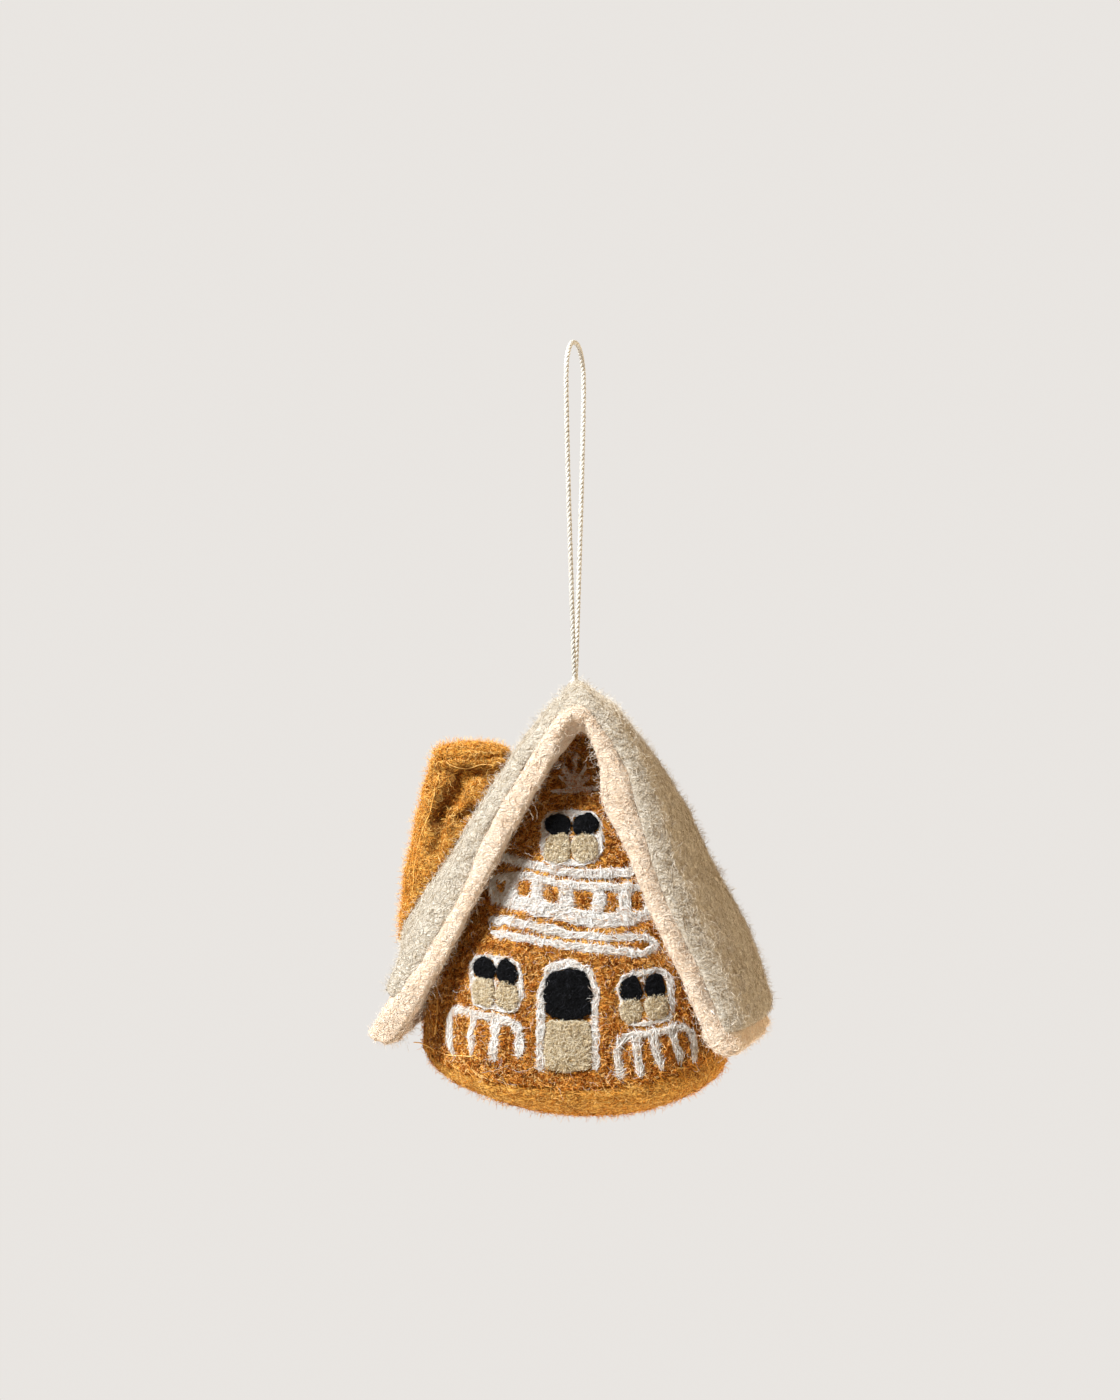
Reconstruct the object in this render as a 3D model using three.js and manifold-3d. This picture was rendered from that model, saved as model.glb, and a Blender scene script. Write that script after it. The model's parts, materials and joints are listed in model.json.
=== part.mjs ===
// A hanging felt house: a stuffed gabled body, a two-layer felt roof, a stuffed chimney and
// needle-felted windows, door, balcony and fences, hung from a doubled cotton string.
// Millimetres, +Z up, the gable front faces -Y. The origin is the hang point, the inner bend of
// the string loop. The house is built in a group of its own, whose zero is the string's exit.

import * as THREE from 'three';
import { mergeVertices } from 'three/addons/utils/BufferGeometryUtils.js';
import Module from 'manifold-3d';

const wasm = await Module();
wasm.setup();

// Driving dimensions

const fit = 0.3; // gap kept between pieces that touch

const string = {
  drop: 78.6, // hang point down to the exit at the ridge
  diameter: 1.1,
  knotRadius: 1.2,
};

const roof = {
  reach: 46, // eave half width
  drop: 83, // ridge down to the lining's eave
  ridgeHalf: 22, // half length of the ridge
  eaveHalf: 29, // half length of the eaves
  ridgeSag: 1.5, // how far the ridge ends droop
  leftLift: 4.4, // left eave above the right one
  coverThickness: 4,
  coverSetback: 1.2, // cover edge behind the lining's gable edge
  coverShort: 3.6, // cover stops above the lining's eave
  coverRound: 2.6, // the cover curves in to the lining along its edges
  coverUnderRound: 0.5,
  liningThickness: 3.6,
  rolledEdge: 4.1, // thickness of the lining's rolled edge
  edgeRound: 1.3,
};

const body = {
  eaveGap: 11.5, // from the widest wall out to the eave
  bulge: 2, // how far the walls stand out past the gable edges
  top: 13.5, // below the exit
  foot: 6.5, // wall bottom at the middle of the front, below the eaves
  rocker: 6, // how far the seam rises to the sides
  wall: 3,
  stitch: 0.7, // radius of the whip-stitched corner seams
};

body.halfWidth = roof.reach - body.eaveGap;
body.halfDepth = roof.eaveHalf + body.bulge;
body.seam = roof.drop + body.foot;

const base = {
  rim: 2.2,
  dome: 7.2,
  tilt: 1.9, // how much lower its right side is
  edgeRound: 1.2,
};

const chimney = {
  top: 14.4, // crown, below the exit
  capThickness: 3.4,
  capDome: 1.5,
  topWidth: 18,
  topDepth: 18,
  topOutShare: 0.522, // axis at the top, left of the string, of the roof's reach
  footWidth: 21,
  footDepth: 20,
  footOutShare: 0.674,
  footDrop: 54,
  back: 2, // axis behind the string
  wall: 2.4,
  sink: 1.6, // how far the foot would reach into the roof before it is cut
  fillLift: 2, // how far above the roof the filling ends
  thread: 0.35, // radius of the seam thread
};

const felt = { lift: 1.1 }; // how far the needle-felted work stands off the wall

// How finely the surfaces are divided
const profileStepCount = 48;
const roofStopCount = 9;
const wallRowCount = 12;
const stuffingColumnCount = 20;
const baseColumnCount = 36;
const seamSideCount = 6;
const cornerSeamStepCount = 12;
const footSeamStepCount = 44;
const chimneyColumnCount = 24;
const chimneyRowCount = 4;
const patchSideCount = 12;
const cordSideCount = 8;
const threadSideCount = 6;
const threadStepCount = 12;

// Outlines, as shares of the sizes above

// Levels down a roof side, and how far out its outer face lies at each, at three stations.
const roofLevelShares = [0, 0.05, 0.16, 0.335, 0.505, 0.675, 0.82, 1];
const roofSideShares = {
  right: [
    [0.076, 0.19, 0.333, 0.42, 0.505, 0.64, 0.758, 0.88],
    [0, 0.17, 0.333, 0.518, 0.662, 0.825, 0.925, 1.01],
    [0, 0.163, 0.326, 0.52, 0.66, 0.82, 0.93, 1.035],
  ],
  left: [
    [-0.076, 0.043, 0.215, 0.405, 0.56, 0.695, 0.835, 1.035],
    [0, 0.098, 0.235, 0.453, 0.615, 0.84, 0.893, 0.94],
    [0, 0.096, 0.25, 0.478, 0.64, 0.82, 0.9, 0.95],
  ],
};

// Places of the roof's inner rows of points between its front (0) and its back (1).
const roofStationShares = [0.1, 0.26, 0.42, 0.58, 0.74, 0.9];

// Levels down the body, with its half width and half depth at each.
const bodyLevelShares = [0, 0.072, 0.19, 0.375, 0.56, 0.717, 0.862, 1];
const bodyWidthShares = [0.13, 0.25, 0.42, 0.62, 0.8, 0.92, 0.985, 1];
const bodyDepthShares = [0.35, 0.435, 0.55, 0.69, 0.82, 0.92, 0.985, 1];
const bodySquareness = 2.8; // exponent of the plan outline, 2 is an ellipse
const cornerShare = 0.9; // place of the corner seams along the half width

// Small helpers

const lerp = THREE.MathUtils.lerp;
const range = (n) => Array.from({ length: n + 1 }, (_, i) => i / n);

// Reads a table of shares at a level between 0 and 1, smoothly.
function readShares(levels, shares, level) {
  let i = 0;
  while (i < levels.length - 2 && level > levels[i + 1]) i++;
  const slopeAt = (k) => {
    const a = Math.max(k - 1, 0);
    const b = Math.min(k + 1, levels.length - 1);
    return (shares[b] - shares[a]) / (levels[b] - levels[a]);
  };
  const span = levels[i + 1] - levels[i];
  const u = (level - levels[i]) / span;
  const h00 = (1 + 2 * u) * (1 - u) * (1 - u);
  const h01 = u * u * (3 - 2 * u);
  const h10 = u * (1 - u) * (1 - u);
  const h11 = u * u * (u - 1);
  return h00 * shares[i] + h01 * shares[i + 1] + span * (h10 * slopeAt(i) + h11 * slopeAt(i + 1));
}

// A closed solid from a list of faces over a list of points, turned to face out.
function solidFrom(points, faces) {
  let volume = 0;
  for (const [a, b, c] of faces) {
    volume += points[a].dot(points[b].clone().cross(points[c]));
  }
  const turned = volume < 0 ? faces.map(([a, b, c]) => [a, c, b]) : faces;
  const geometry = new THREE.BufferGeometry();
  geometry.setAttribute(
    'position',
    new THREE.Float32BufferAttribute(points.flatMap((p) => [p.x, p.y, p.z]), 3),
  );
  geometry.setIndex(turned.flat());
  return geometry;
}

// A shell between two grids of points with the same rows and columns.
function shellSolid(outer, inner) {
  const rows = outer.length;
  const columns = outer[0].length;
  const points = [...outer.flat(), ...inner.flat()];
  const at = (side, i, j) => side * rows * columns + i * columns + j;
  const faces = [];
  const quad = (a, b, c, d) => faces.push([a, b, c], [a, c, d]);
  for (let i = 0; i < rows - 1; i++) {
    for (let j = 0; j < columns - 1; j++) {
      quad(at(0, i, j), at(0, i, j + 1), at(0, i + 1, j + 1), at(0, i + 1, j));
      quad(at(1, i, j), at(1, i + 1, j), at(1, i + 1, j + 1), at(1, i, j + 1));
    }
  }
  for (let j = 0; j < columns - 1; j++) {
    quad(at(0, 0, j), at(1, 0, j), at(1, 0, j + 1), at(0, 0, j + 1));
    quad(at(0, rows - 1, j), at(0, rows - 1, j + 1), at(1, rows - 1, j + 1), at(1, rows - 1, j));
  }
  for (let i = 0; i < rows - 1; i++) {
    quad(at(0, i, 0), at(0, i + 1, 0), at(1, i + 1, 0), at(1, i, 0));
    quad(at(0, i, columns - 1), at(1, i, columns - 1), at(1, i + 1, columns - 1), at(0, i + 1, columns - 1));
  }
  return solidFrom(points, faces);
}

// A solid through closed rings of points, capped at both ends, or joined end to end.
function ringSolid(rings, closed = false) {
  const points = rings.flat();
  const n = rings[0].length;
  const faces = [];
  const last = closed ? rings.length : rings.length - 1;
  for (let i = 0; i < last; i++) {
    const next = (i + 1) % rings.length;
    for (let j = 0; j < n; j++) {
      const k = (j + 1) % n;
      faces.push([i * n + j, i * n + k, next * n + k], [i * n + j, next * n + k, next * n + j]);
    }
  }
  if (!closed) {
    for (const [ring, flip] of [[0, true], [rings.length - 1, false]]) {
      const middle = points.length;
      const centre = rings[ring].reduce((s, p) => s.clone().add(p), new THREE.Vector3());
      points.push(centre.divideScalar(n));
      for (let j = 0; j < n; j++) {
        const pair = [ring * n + j, ring * n + ((j + 1) % n)];
        faces.push(flip ? [middle, pair[1], pair[0]] : [middle, pair[0], pair[1]]);
      }
    }
  }
  return solidFrom(points, faces);
}

// The library's solid of a closed geometry, and back.
function toSolid(geometry) {
  const bare = geometry.clone();
  bare.deleteAttribute('normal');
  bare.deleteAttribute('uv');
  const merged = mergeVertices(bare);
  return new wasm.Manifold(
    new wasm.Mesh({
      numProp: 3,
      vertProperties: new Float32Array(merged.attributes.position.array),
      triVerts: new Uint32Array(merged.index.array),
    }),
  );
}

function toGeometry(solid) {
  const mesh = solid.getMesh();
  const geometry = new THREE.BufferGeometry();
  geometry.setAttribute('position', new THREE.Float32BufferAttribute(mesh.vertProperties, 3));
  geometry.setIndex(Array.from(mesh.triVerts));
  return geometry;
}

const joined = (geometries) => toGeometry(geometries.map(toSolid).reduce((a, b) => a.add(b)));
const cut = (geometry, ...tools) =>
  toGeometry(tools.map(toSolid).reduce((a, b) => a.subtract(b), toSolid(geometry)));

// Roof surfaces

// One side of the roof's outer face at a station from front (0) to back (1), ridge to eave.
function roofProfile(side, station) {
  const [front, middle, back] = roofSideShares[side];
  const t = THREE.MathUtils.clamp(station, 0, 1);
  const weights = [(1 - t) * (1 - 2 * t), 4 * t * (1 - t), t * (2 * t - 1)];
  const sag = roof.ridgeSag * (2 * t - 1) ** 2;
  const sign = side === 'right' ? 1 : -1;
  const drop = side === 'right' ? roof.drop : roof.drop - roof.leftLift;
  return range(profileStepCount).map((level) => {
    const share = [front, middle, back].reduce(
      (sum, shares, k) => sum + weights[k] * readShares(roofLevelShares, shares, level),
      0,
    );
    return new THREE.Vector2(sign * share * roof.reach, -level * drop - sag * (1 - level));
  });
}

// The profile moved inwards and trimmed at the ridge plane, as points that carry their share of
// the way down. The last two stops are left out where the sheet is a short one.
function insetProfile(side, station, inset, isShort) {
  const profile = roofProfile(side, station);
  const sign = side === 'right' ? 1 : -1;
  const ridge = profile[0].x;
  let moved = profile.map((p, i) => {
    const along = profile[Math.min(i + 1, profile.length - 1)].clone().sub(profile[Math.max(i - 1, 0)]);
    along.normalize();
    return new THREE.Vector2(p.x + sign * along.y * inset, p.y - Math.abs(along.x) * inset);
  });
  const crossing = moved.findLastIndex((p) => sign * (p.x - ridge) < 0);
  if (crossing >= 0) {
    const a = moved[crossing];
    const b = moved[crossing + 1];
    moved = [a.clone().lerp(b, (ridge - a.x) / (b.x - a.x)), ...moved.slice(crossing + 1)];
  } else if (moved[0].x !== ridge) {
    const reach = moved[1].clone().sub(moved[0]);
    const back = (ridge - moved[0].x) / reach.x;
    moved = [moved[0].clone().addScaledVector(reach, back), ...moved];
  }
  const steps = moved.slice(1).map((p, i) => p.distanceTo(moved[i]));
  const length = steps.reduce((a, b) => a + b);
  const shared = length - roof.coverShort;
  const stops = [...range(roofStopCount).map((u) => u * (shared - roof.edgeRound)), shared];
  if (!isShort) stops.push(length - roof.edgeRound, length);
  return stops.map((goal) => {
    let i = 0;
    let walked = 0;
    while (i < steps.length - 1 && walked + steps[i] < goal) walked += steps[i++];
    const point = moved[i].clone().lerp(moved[i + 1], (goal - walked) / steps[i]);
    return { x: point.x, z: point.y, down: goal / length };
  });
}

// A row of points over the whole roof at one station, left eave to right eave.
function roofRow(station, inset, isShort) {
  const left = insetProfile('left', station, inset, isShort);
  const right = insetProfile('right', station, inset, isShort);
  const place = ({ x, z, down }) => {
    const half = lerp(roof.ridgeHalf, roof.eaveHalf, down);
    return new THREE.Vector3(x, lerp(-half, half, station), z);
  };
  const ridge = place({ ...right[0], z: (left[0].z + right[0].z) / 2 });
  return [...left.slice(1).map(place).reverse(), ridge, ...right.slice(1).map(place)];
}

// A felt sheet over the roof between two insets, with rounded edges and thickened gable edges.
function roofSheet({
  from,
  to,
  roll = 0,
  setback = 0,
  isShort = false,
  round = roof.edgeRound,
  underRound = round,
}) {
  const lengthwise = 2 * roof.eaveHalf;
  const [start, next] = [setback / lengthwise, (setback + round) / lengthwise];
  const inside = roofStationShares;
  const stations = round ? [start, next, ...inside, 1 - next, 1 - start] : [0, ...inside, 1];
  const face = (inset, towards) =>
    stations.map((station, i) => {
      const fromEdge = Math.min(i, stations.length - 1 - i);
      const rolled = towards < 0 && fromEdge <= (round ? 1 : 0) ? roll : 0;
      const rounded = rolled + (towards > 0 ? round : -underRound);
      const full = roofRow(station, inset + (round && fromEdge === 0 ? rounded : rolled), isShort);
      const eased = roofRow(station, inset + rounded, isShort);
      return full.map((p, j) => (round && (j === 0 || j === full.length - 1) ? eased[j] : p));
    });
  return shellSolid(face(from, 1), face(to, -1));
}

const coverInner = roof.coverThickness;
const liningOuter = coverInner + fit;
const liningInner = liningOuter + roof.liningThickness;

// What the roof takes up, with its gap: the body is cut by it, and so is the chimney's foot.
const edgeRoll = roof.rolledEdge - roof.liningThickness;
const roofSpace = roofSheet({ from: 0, to: liningInner + fit, roll: edgeRoll, round: 0 });
const chimneyClearance = roofSheet({ from: -fit, to: liningInner, round: 0 });

// Body surfaces

const seamZ = (x) => -body.seam + body.rocker * (x / body.halfWidth) ** 2;

// A point on the body at a level from top (0) to seam (1) and an angle round it, moved inwards.
function bodyPoint(level, angle, inset = 0) {
  const a = readShares(bodyLevelShares, bodyWidthShares, level) * body.halfWidth - inset;
  const b = readShares(bodyLevelShares, bodyDepthShares, level) * body.halfDepth - inset;
  const power = 2 / bodySquareness;
  const x = Math.max(a, fit) * Math.sign(Math.cos(angle)) * Math.abs(Math.cos(angle)) ** power;
  const y = Math.max(b, fit) * Math.sign(Math.sin(angle)) * Math.abs(Math.sin(angle)) ** power;
  return new THREE.Vector3(x, y, lerp(-body.top, seamZ(x), level));
}

// The front wall's face over a place x, z, and the way it faces.
function wallFace(x, z) {
  const level = (z + body.top) / (seamZ(x) + body.top);
  const a = readShares(bodyLevelShares, bodyWidthShares, level) * body.halfWidth;
  const b = readShares(bodyLevelShares, bodyDepthShares, level) * body.halfDepth;
  const out = Math.min(Math.abs(x) / a, cornerShare);
  return new THREE.Vector3(x, -b * (1 - out ** bodySquareness) ** (1 / bodySquareness), z);
}

function wallPoint(x, z, lift) {
  const probe = felt.lift;
  const here = wallFace(x, z);
  const across = wallFace(x + probe, z).sub(wallFace(x - probe, z));
  const along = wallFace(x, z + probe).sub(wallFace(x, z - probe));
  return here.addScaledVector(across.cross(along).normalize(), lift);
}

// Needle-felted work

// The strand's section: places across its width, and heights above the wall.
const strandSectionShares = [
  [-0.5, 0.3], [-0.28, 0], [0.28, 0], [0.5, 0.3], [0.3, 0.95], [-0.3, 0.95],
];
const strandStepShare = 1.25; // step along a strand, of its width
const strandTipShare = 0.72; // width of a strand's tip

// A flattened strand laid along points on the front wall.
function strand(points, width, closed = false) {
  const curve = new THREE.CatmullRomCurve3(
    points.map(([x, z]) => new THREE.Vector3(x, 0, z)),
    closed,
    'centripetal',
  );
  const steps = Math.max(3, Math.round(curve.getLength() / (width * strandStepShare)));
  const stops = closed ? range(steps).slice(0, -1) : range(steps);
  const rings = stops.map((u) => {
    const p = curve.getPointAt(u);
    const along = curve.getTangentAt(u);
    const ends = closed ? 1 : Math.min(1, strandTipShare + Math.min(u, 1 - u) * steps);
    return strandSectionShares.map(([across, high]) => {
      const w = across * width * ends;
      return wallPoint(p.x - along.z * w, p.z + along.x * w, fit + high * felt.lift * ends);
    });
  });
  return ringSolid(rings, closed);
}

// A place on the front wall, sheared: tilt lifts the right side, lean moves the top leftwards.
const sheared = ({ x, z, tiltShare, leanShare }) => ([a, b]) => [
  x + a - b * leanShare,
  z + b + a * tiltShare,
];

const paneSquareness = 4; // exponent of a window pane's outline

// The patch's rings from its back to its front: their sizes and heights above the wall.
const patchRingShares = [[0.92, 0], [1, 0.35], [0.88, 0.85], [0.5, 1]];

// A rounded felt patch on the front wall, at an offset from a sheared place.
function patch(place, across, upward, width, height, squareness = paneSquareness) {
  const put = sheared(place);
  const power = 2 / squareness;
  const rings = patchRingShares.map(([size, high]) =>
    range(patchSideCount).slice(0, -1).map((u) => {
      const [c, s] = [Math.cos(2 * Math.PI * u), Math.sin(2 * Math.PI * u)];
      const a = size * (width / 2) * Math.sign(c) * Math.abs(c) ** power;
      const b = size * (height / 2) * Math.sign(s) * Math.abs(s) ** power;
      const [x, z] = put([across + a, upward + b]);
      return wallPoint(x, z, fit + high * felt.lift);
    }),
  );
  return ringSolid(rings);
}

// Materials

const paint = (color, roughness = 0.95) => new THREE.MeshStandardMaterial({ color, roughness, metalness: 0 });
const sage = () => paint(0xbdb59c);
const peach = () => paint(0xecc9a6);
const rust = () => paint(0xb0691f);
const mustard = () => paint(0xc58a2e);
const cream = () => paint(0xf1ece1);
const white = () => paint(0xf2efea);
const black = () => paint(0x141416);
const beige = () => paint(0xcdc39a);
const wool = () => paint(0xe6dcc6);

const ornament = new THREE.Group();
const house = new THREE.Group();
house.position.z = -string.drop;
ornament.add(house);

function addTo(group, name, geometry, material) {
  const mesh = new THREE.Mesh(geometry, material);
  mesh.name = name;
  group.add(mesh);
}
const add = (name, geometry, material) => addTo(house, name, geometry, material);

// String and knot

// The route of the string's centre, chosen by hand: up one strand, over the bend, down the other.
const cordRoute = [
  [-0.1, -0.72, -77.1],
  [-0.2, -1.1, -74],
  [-0.45, -2.05, -65],
  [-0.7, -3.1, -55],
  [-0.95, -4.15, -45],
  [-1.2, -5.2, -35],
  [-1.4, -6.2, -25],
  [-1.55, -7.15, -16],
  [-1.6, -7.85, -10],
  [-1.5, -7.7, -5.2],
  [-1.2, -6.2, -2.2],
  [-0.7, -3.6, -0.15],
  [0, 0, 0.55],
  [0.7, 3.6, -0.15],
  [1.2, 6.2, -2.2],
  [1.5, 7.7, -5.2],
  [1.6, 7.85, -10],
  [1.55, 7.15, -16],
  [1.4, 6.2, -25],
  [1.2, 5.2, -35],
  [0.95, 4.15, -45],
  [0.7, 3.1, -55],
  [0.45, 2.05, -65],
  [0.2, 1.1, -74],
  [0.1, 0.72, -77.1],
];
const cordPoints = cordRoute.map((p) => new THREE.Vector3(...p));
const cordCurve = new THREE.CatmullRomCurve3(cordPoints, false, 'centripetal');
const cordRadius = string.diameter / 2;
const cordSection = new THREE.Shape(
  range(cordSideCount).slice(0, -1).map((u) => {
    const angle = 2 * Math.PI * u;
    return new THREE.Vector2(cordRadius * Math.cos(angle), cordRadius * Math.sin(angle));
  }),
);
const cord = new THREE.ExtrudeGeometry(cordSection, {
  extrudePath: cordCurve,
  steps: Math.round(cordCurve.getLength() / (3 * string.diameter)),
  bevelEnabled: false,
});
addTo(ornament, 'hanging_loop', cord, cream());

// The knot is a ball about the pivot, half sunk in the ridge.
const ball = (radius) => new THREE.SphereGeometry(radius, 12, 8);
add('loop_knot', ball(string.knotRadius), cream());

// Roof

const pocket = ball(string.knotRadius + fit);
const cover = roofSheet({
  from: 0,
  to: coverInner,
  setback: roof.coverSetback,
  isShort: true,
  round: roof.coverRound,
  underRound: roof.coverUnderRound,
});
add('roof_cover', cut(cover, pocket), sage());
add('roof_lining', roofSheet({ from: liningOuter, to: liningInner, roll: edgeRoll }), peach());

// Body: four wall panels, the stuffing inside them and the puffy base below

const cornerAngle = Math.acos(cornerShare ** (bodySquareness / 2));
const panels = {
  right_wall: [-cornerAngle, cornerAngle, 5],
  back_wall: [cornerAngle, Math.PI - cornerAngle, 14],
  left_wall: [Math.PI - cornerAngle, Math.PI + cornerAngle, 5],
  front_wall: [Math.PI + cornerAngle, 2 * Math.PI - cornerAngle, 20],
};
for (const [name, [start, end, columns]] of Object.entries(panels)) {
  const face = (inset) =>
    range(wallRowCount).map((level) => {
      const depth = readShares(bodyLevelShares, bodyDepthShares, level) * body.halfDepth;
      const apart = fit / (depth - inset);
      return range(columns).map((u) => bodyPoint(level, lerp(start + apart, end - apart, u), inset));
    });
  add(name, cut(shellSolid(face(0), face(body.wall)), roofSpace), rust());
}

const stuffingRings = range(wallRowCount).slice(1).map((level) =>
  range(stuffingColumnCount).slice(0, -1).map((u) => bodyPoint(level, 2 * Math.PI * u, body.wall + fit)),
);
add('body_stuffing', cut(ringSolid(stuffingRings), roofSpace), wool());

// The base's outline at a share of its width, lowered from the seam.
function baseRing(share, drop) {
  return range(baseColumnCount).slice(0, -1).map((u) => {
    const edge = bodyPoint(1, 2 * Math.PI * u);
    const x = edge.x * share;
    const lean = drop > base.edgeRound ? (base.tilt * x) / body.halfWidth : 0;
    return new THREE.Vector3(x, edge.y * share, seamZ(x) - fit - drop - lean);
  });
}
const baseTopShares = [0.3, 0.7];
const domeShares = [1, 0.94, 0.84, 0.68, 0.48, 0.25];
const baseRings = [
  ...baseTopShares.map((share) => baseRing(share, 0)),
  baseRing(1 - base.edgeRound / body.halfWidth, 0),
  baseRing(1, base.edgeRound),
  ...domeShares.map((share) => baseRing(share, base.rim + base.dome * Math.sqrt(1 - share * share))),
];
add('base_pad', ringSolid(baseRings), mustard());

// Whip-stitched seams: a strand down each corner and one round the foot of the walls.
function seamTube(path, closed) {
  const rings = path.map((p, i) => {
    const before = path[closed ? (i + path.length - 1) % path.length : Math.max(i - 1, 0)];
    const after = path[closed ? (i + 1) % path.length : Math.min(i + 1, path.length - 1)];
    const along = after.clone().sub(before).normalize();
    const out = new THREE.Vector3(p.x, p.y, 0);
    out.addScaledVector(along, -out.dot(along)).normalize();
    const side = along.clone().cross(out);
    return range(seamSideCount).slice(0, -1).map((u) => {
      const angle = 2 * Math.PI * u;
      const radial = out.clone().multiplyScalar(Math.cos(angle)).addScaledVector(side, Math.sin(angle));
      return p.clone().addScaledVector(radial, body.stitch);
    });
  });
  return ringSolid(rings, closed);
}
const seamOut = -(fit + body.stitch);
const seamTopShare = 0.45;
const seamFoot = 1 - (fit + 2 * body.stitch) / body.seam;
const cornerSeams = {
  front_left_seam: Math.PI + cornerAngle,
  front_right_seam: 2 * Math.PI - cornerAngle,
  back_left_seam: Math.PI - cornerAngle,
  back_right_seam: cornerAngle,
};
for (const [name, angle] of Object.entries(cornerSeams)) {
  const levels = range(cornerSeamStepCount).map((u) => lerp(seamTopShare, seamFoot, u));
  const path = levels.map((down) => bodyPoint(down, angle, seamOut));
  add(name, cut(seamTube(path, false), roofSpace), mustard());
}
const footPath = range(footSeamStepCount).slice(0, -1).map((u) => bodyPoint(1, 2 * Math.PI * u, seamOut));
add('base_seam', seamTube(footPath, true), mustard());

// Chimney

// The left roof side's height over a place, from its outer profile.
function roofHeight(x, y) {
  const half = lerp(roof.ridgeHalf, roof.eaveHalf, -x / roof.reach);
  const profile = roofProfile('left', (1 + y / half) / 2);
  const i = Math.max(1, profile.findIndex((p) => p.x <= x));
  const [a, b] = [profile[i - 1], profile[i]];
  return lerp(a.y, b.y, THREE.MathUtils.clamp((x - a.x) / (b.x - a.x), 0, 1));
}

const sleeveTop = chimney.top + chimney.capThickness;
const chimneyRise = chimney.footDrop - sleeveTop;
const chimneySquareness = 4; // exponent of the chimney's plan outline
const intoRoof = (x, y) => roofHeight(x, y) - chimney.sink;
const aboveRoof = (x, y) => roofHeight(x, y) + chimney.fillLift;
const atDrop = (drop) => () => -drop;

// A ring round the leaning chimney at a share of its height, moved inwards.
function chimneyRing(share, inset, heightAt) {
  const width = lerp(chimney.topWidth, chimney.footWidth, share) / 2 - inset;
  const depth = lerp(chimney.topDepth, chimney.footDepth, share) / 2 - inset;
  const axis = -roof.reach * lerp(chimney.topOutShare, chimney.footOutShare, share);
  const power = 2 / chimneySquareness;
  return range(chimneyColumnCount).slice(0, -1).map((u) => {
    const [c, s] = [Math.cos(2 * Math.PI * u), Math.sin(2 * Math.PI * u)];
    const x = axis + width * Math.sign(c) * Math.abs(c) ** power;
    const y = chimney.back + depth * Math.sign(s) * Math.abs(s) ** power;
    return new THREE.Vector3(x, y, heightAt(x, y));
  });
}

// The rings of the chimney's side, from its level top to its slanted foot on the roof.
const chimneyFootShare = 0.6;
function chimneySide(inset, footAt) {
  const feet = chimneyRing(chimneyFootShare, inset, footAt);
  return range(chimneyRowCount).map((down) =>
    feet.map((foot, j) => {
      const drop = lerp(sleeveTop, -foot.z, down);
      const share = (drop - sleeveTop) / chimneyRise;
      return chimneyRing(share, inset, down < 1 ? atDrop(drop) : footAt)[j];
    }),
  );
}
const sleeveOutside = chimneySide(0, intoRoof);
const sleeveInside = chimneySide(chimney.wall, intoRoof);
const sleeve = ringSolid([...sleeveOutside, ...sleeveInside.reverse()], true);
add('chimney_sleeve', cut(sleeve, chimneyClearance), mustard());
add('chimney_stuffing', ringSolid(chimneySide(chimney.wall + fit, aboveRoof)), wool());

const capFoot = sleeveTop - fit;
const capRings = [
  chimneyRing(0, chimney.topWidth / 4, atDrop(capFoot)),
  chimneyRing(0, base.edgeRound, atDrop(capFoot)),
  chimneyRing(0, 0, atDrop(capFoot - base.edgeRound)),
  chimneyRing(0, base.edgeRound / 2, atDrop(chimney.top + chimney.capDome)),
  chimneyRing(0, chimney.topWidth / 6, atDrop(chimney.top + chimney.capDome / 4)),
  chimneyRing(0, chimney.topWidth / 3, atDrop(chimney.top)),
];
add('chimney_cap', ringSolid(capRings), mustard());

// The light thread that sews the sleeve, down its front left edge.
const threadShares = { start: 0.03, end: 0.8, round: 0.6 };
const threadPoints = range(threadStepCount).map((u) => {
  const share = lerp(threadShares.start, threadShares.end, u);
  const outside = -fit - chimney.thread;
  const ring = chimneyRing(share, outside, atDrop(sleeveTop + share * chimneyRise));
  return ring[Math.round(threadShares.round * ring.length)];
});
const threadSection = new THREE.Shape(
  range(threadSideCount).slice(0, -1).map((u) => {
    const angle = 2 * Math.PI * u;
    return new THREE.Vector2(chimney.thread * Math.cos(angle), chimney.thread * Math.sin(angle));
  }),
);
const thread = new THREE.ExtrudeGeometry(threadSection, {
  extrudePath: new THREE.CatmullRomCurve3(threadPoints),
  steps: threadStepCount,
  bevelEnabled: false,
});
add('chimney_seam', cut(thread, chimneyClearance), cream());

// Gable fan: a sill line with rays above it

const fan = { x: 0.6, z: -24.1, halfWidth: 5.2, line: 1.5, ray: 1.1, reach: 8.2, spreadShare: 0.8 };
const sill = [
  [fan.x - fan.halfWidth, fan.z - fan.line / 4],
  [fan.x, fan.z],
  [fan.x + fan.halfWidth, fan.z],
];
const fanStrands = [strand(sill, fan.line)];
const rayTurnShares = [-0.3, -0.15, 0, 0.15, 0.3];
for (const share of rayTurnShares) {
  const turn = share * Math.PI;
  const long = fan.reach * (1 - Math.abs(share));
  const tip = [fan.x + long * fan.spreadShare * Math.sin(turn), fan.z + long * Math.cos(turn)];
  fanStrands.push(strand([[fan.x, fan.z], tip], fan.ray));
}
add('gable_fan', joined(fanStrands), white());

// Windows: a white frame with a cross, two dark panes above two beige ones

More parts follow.
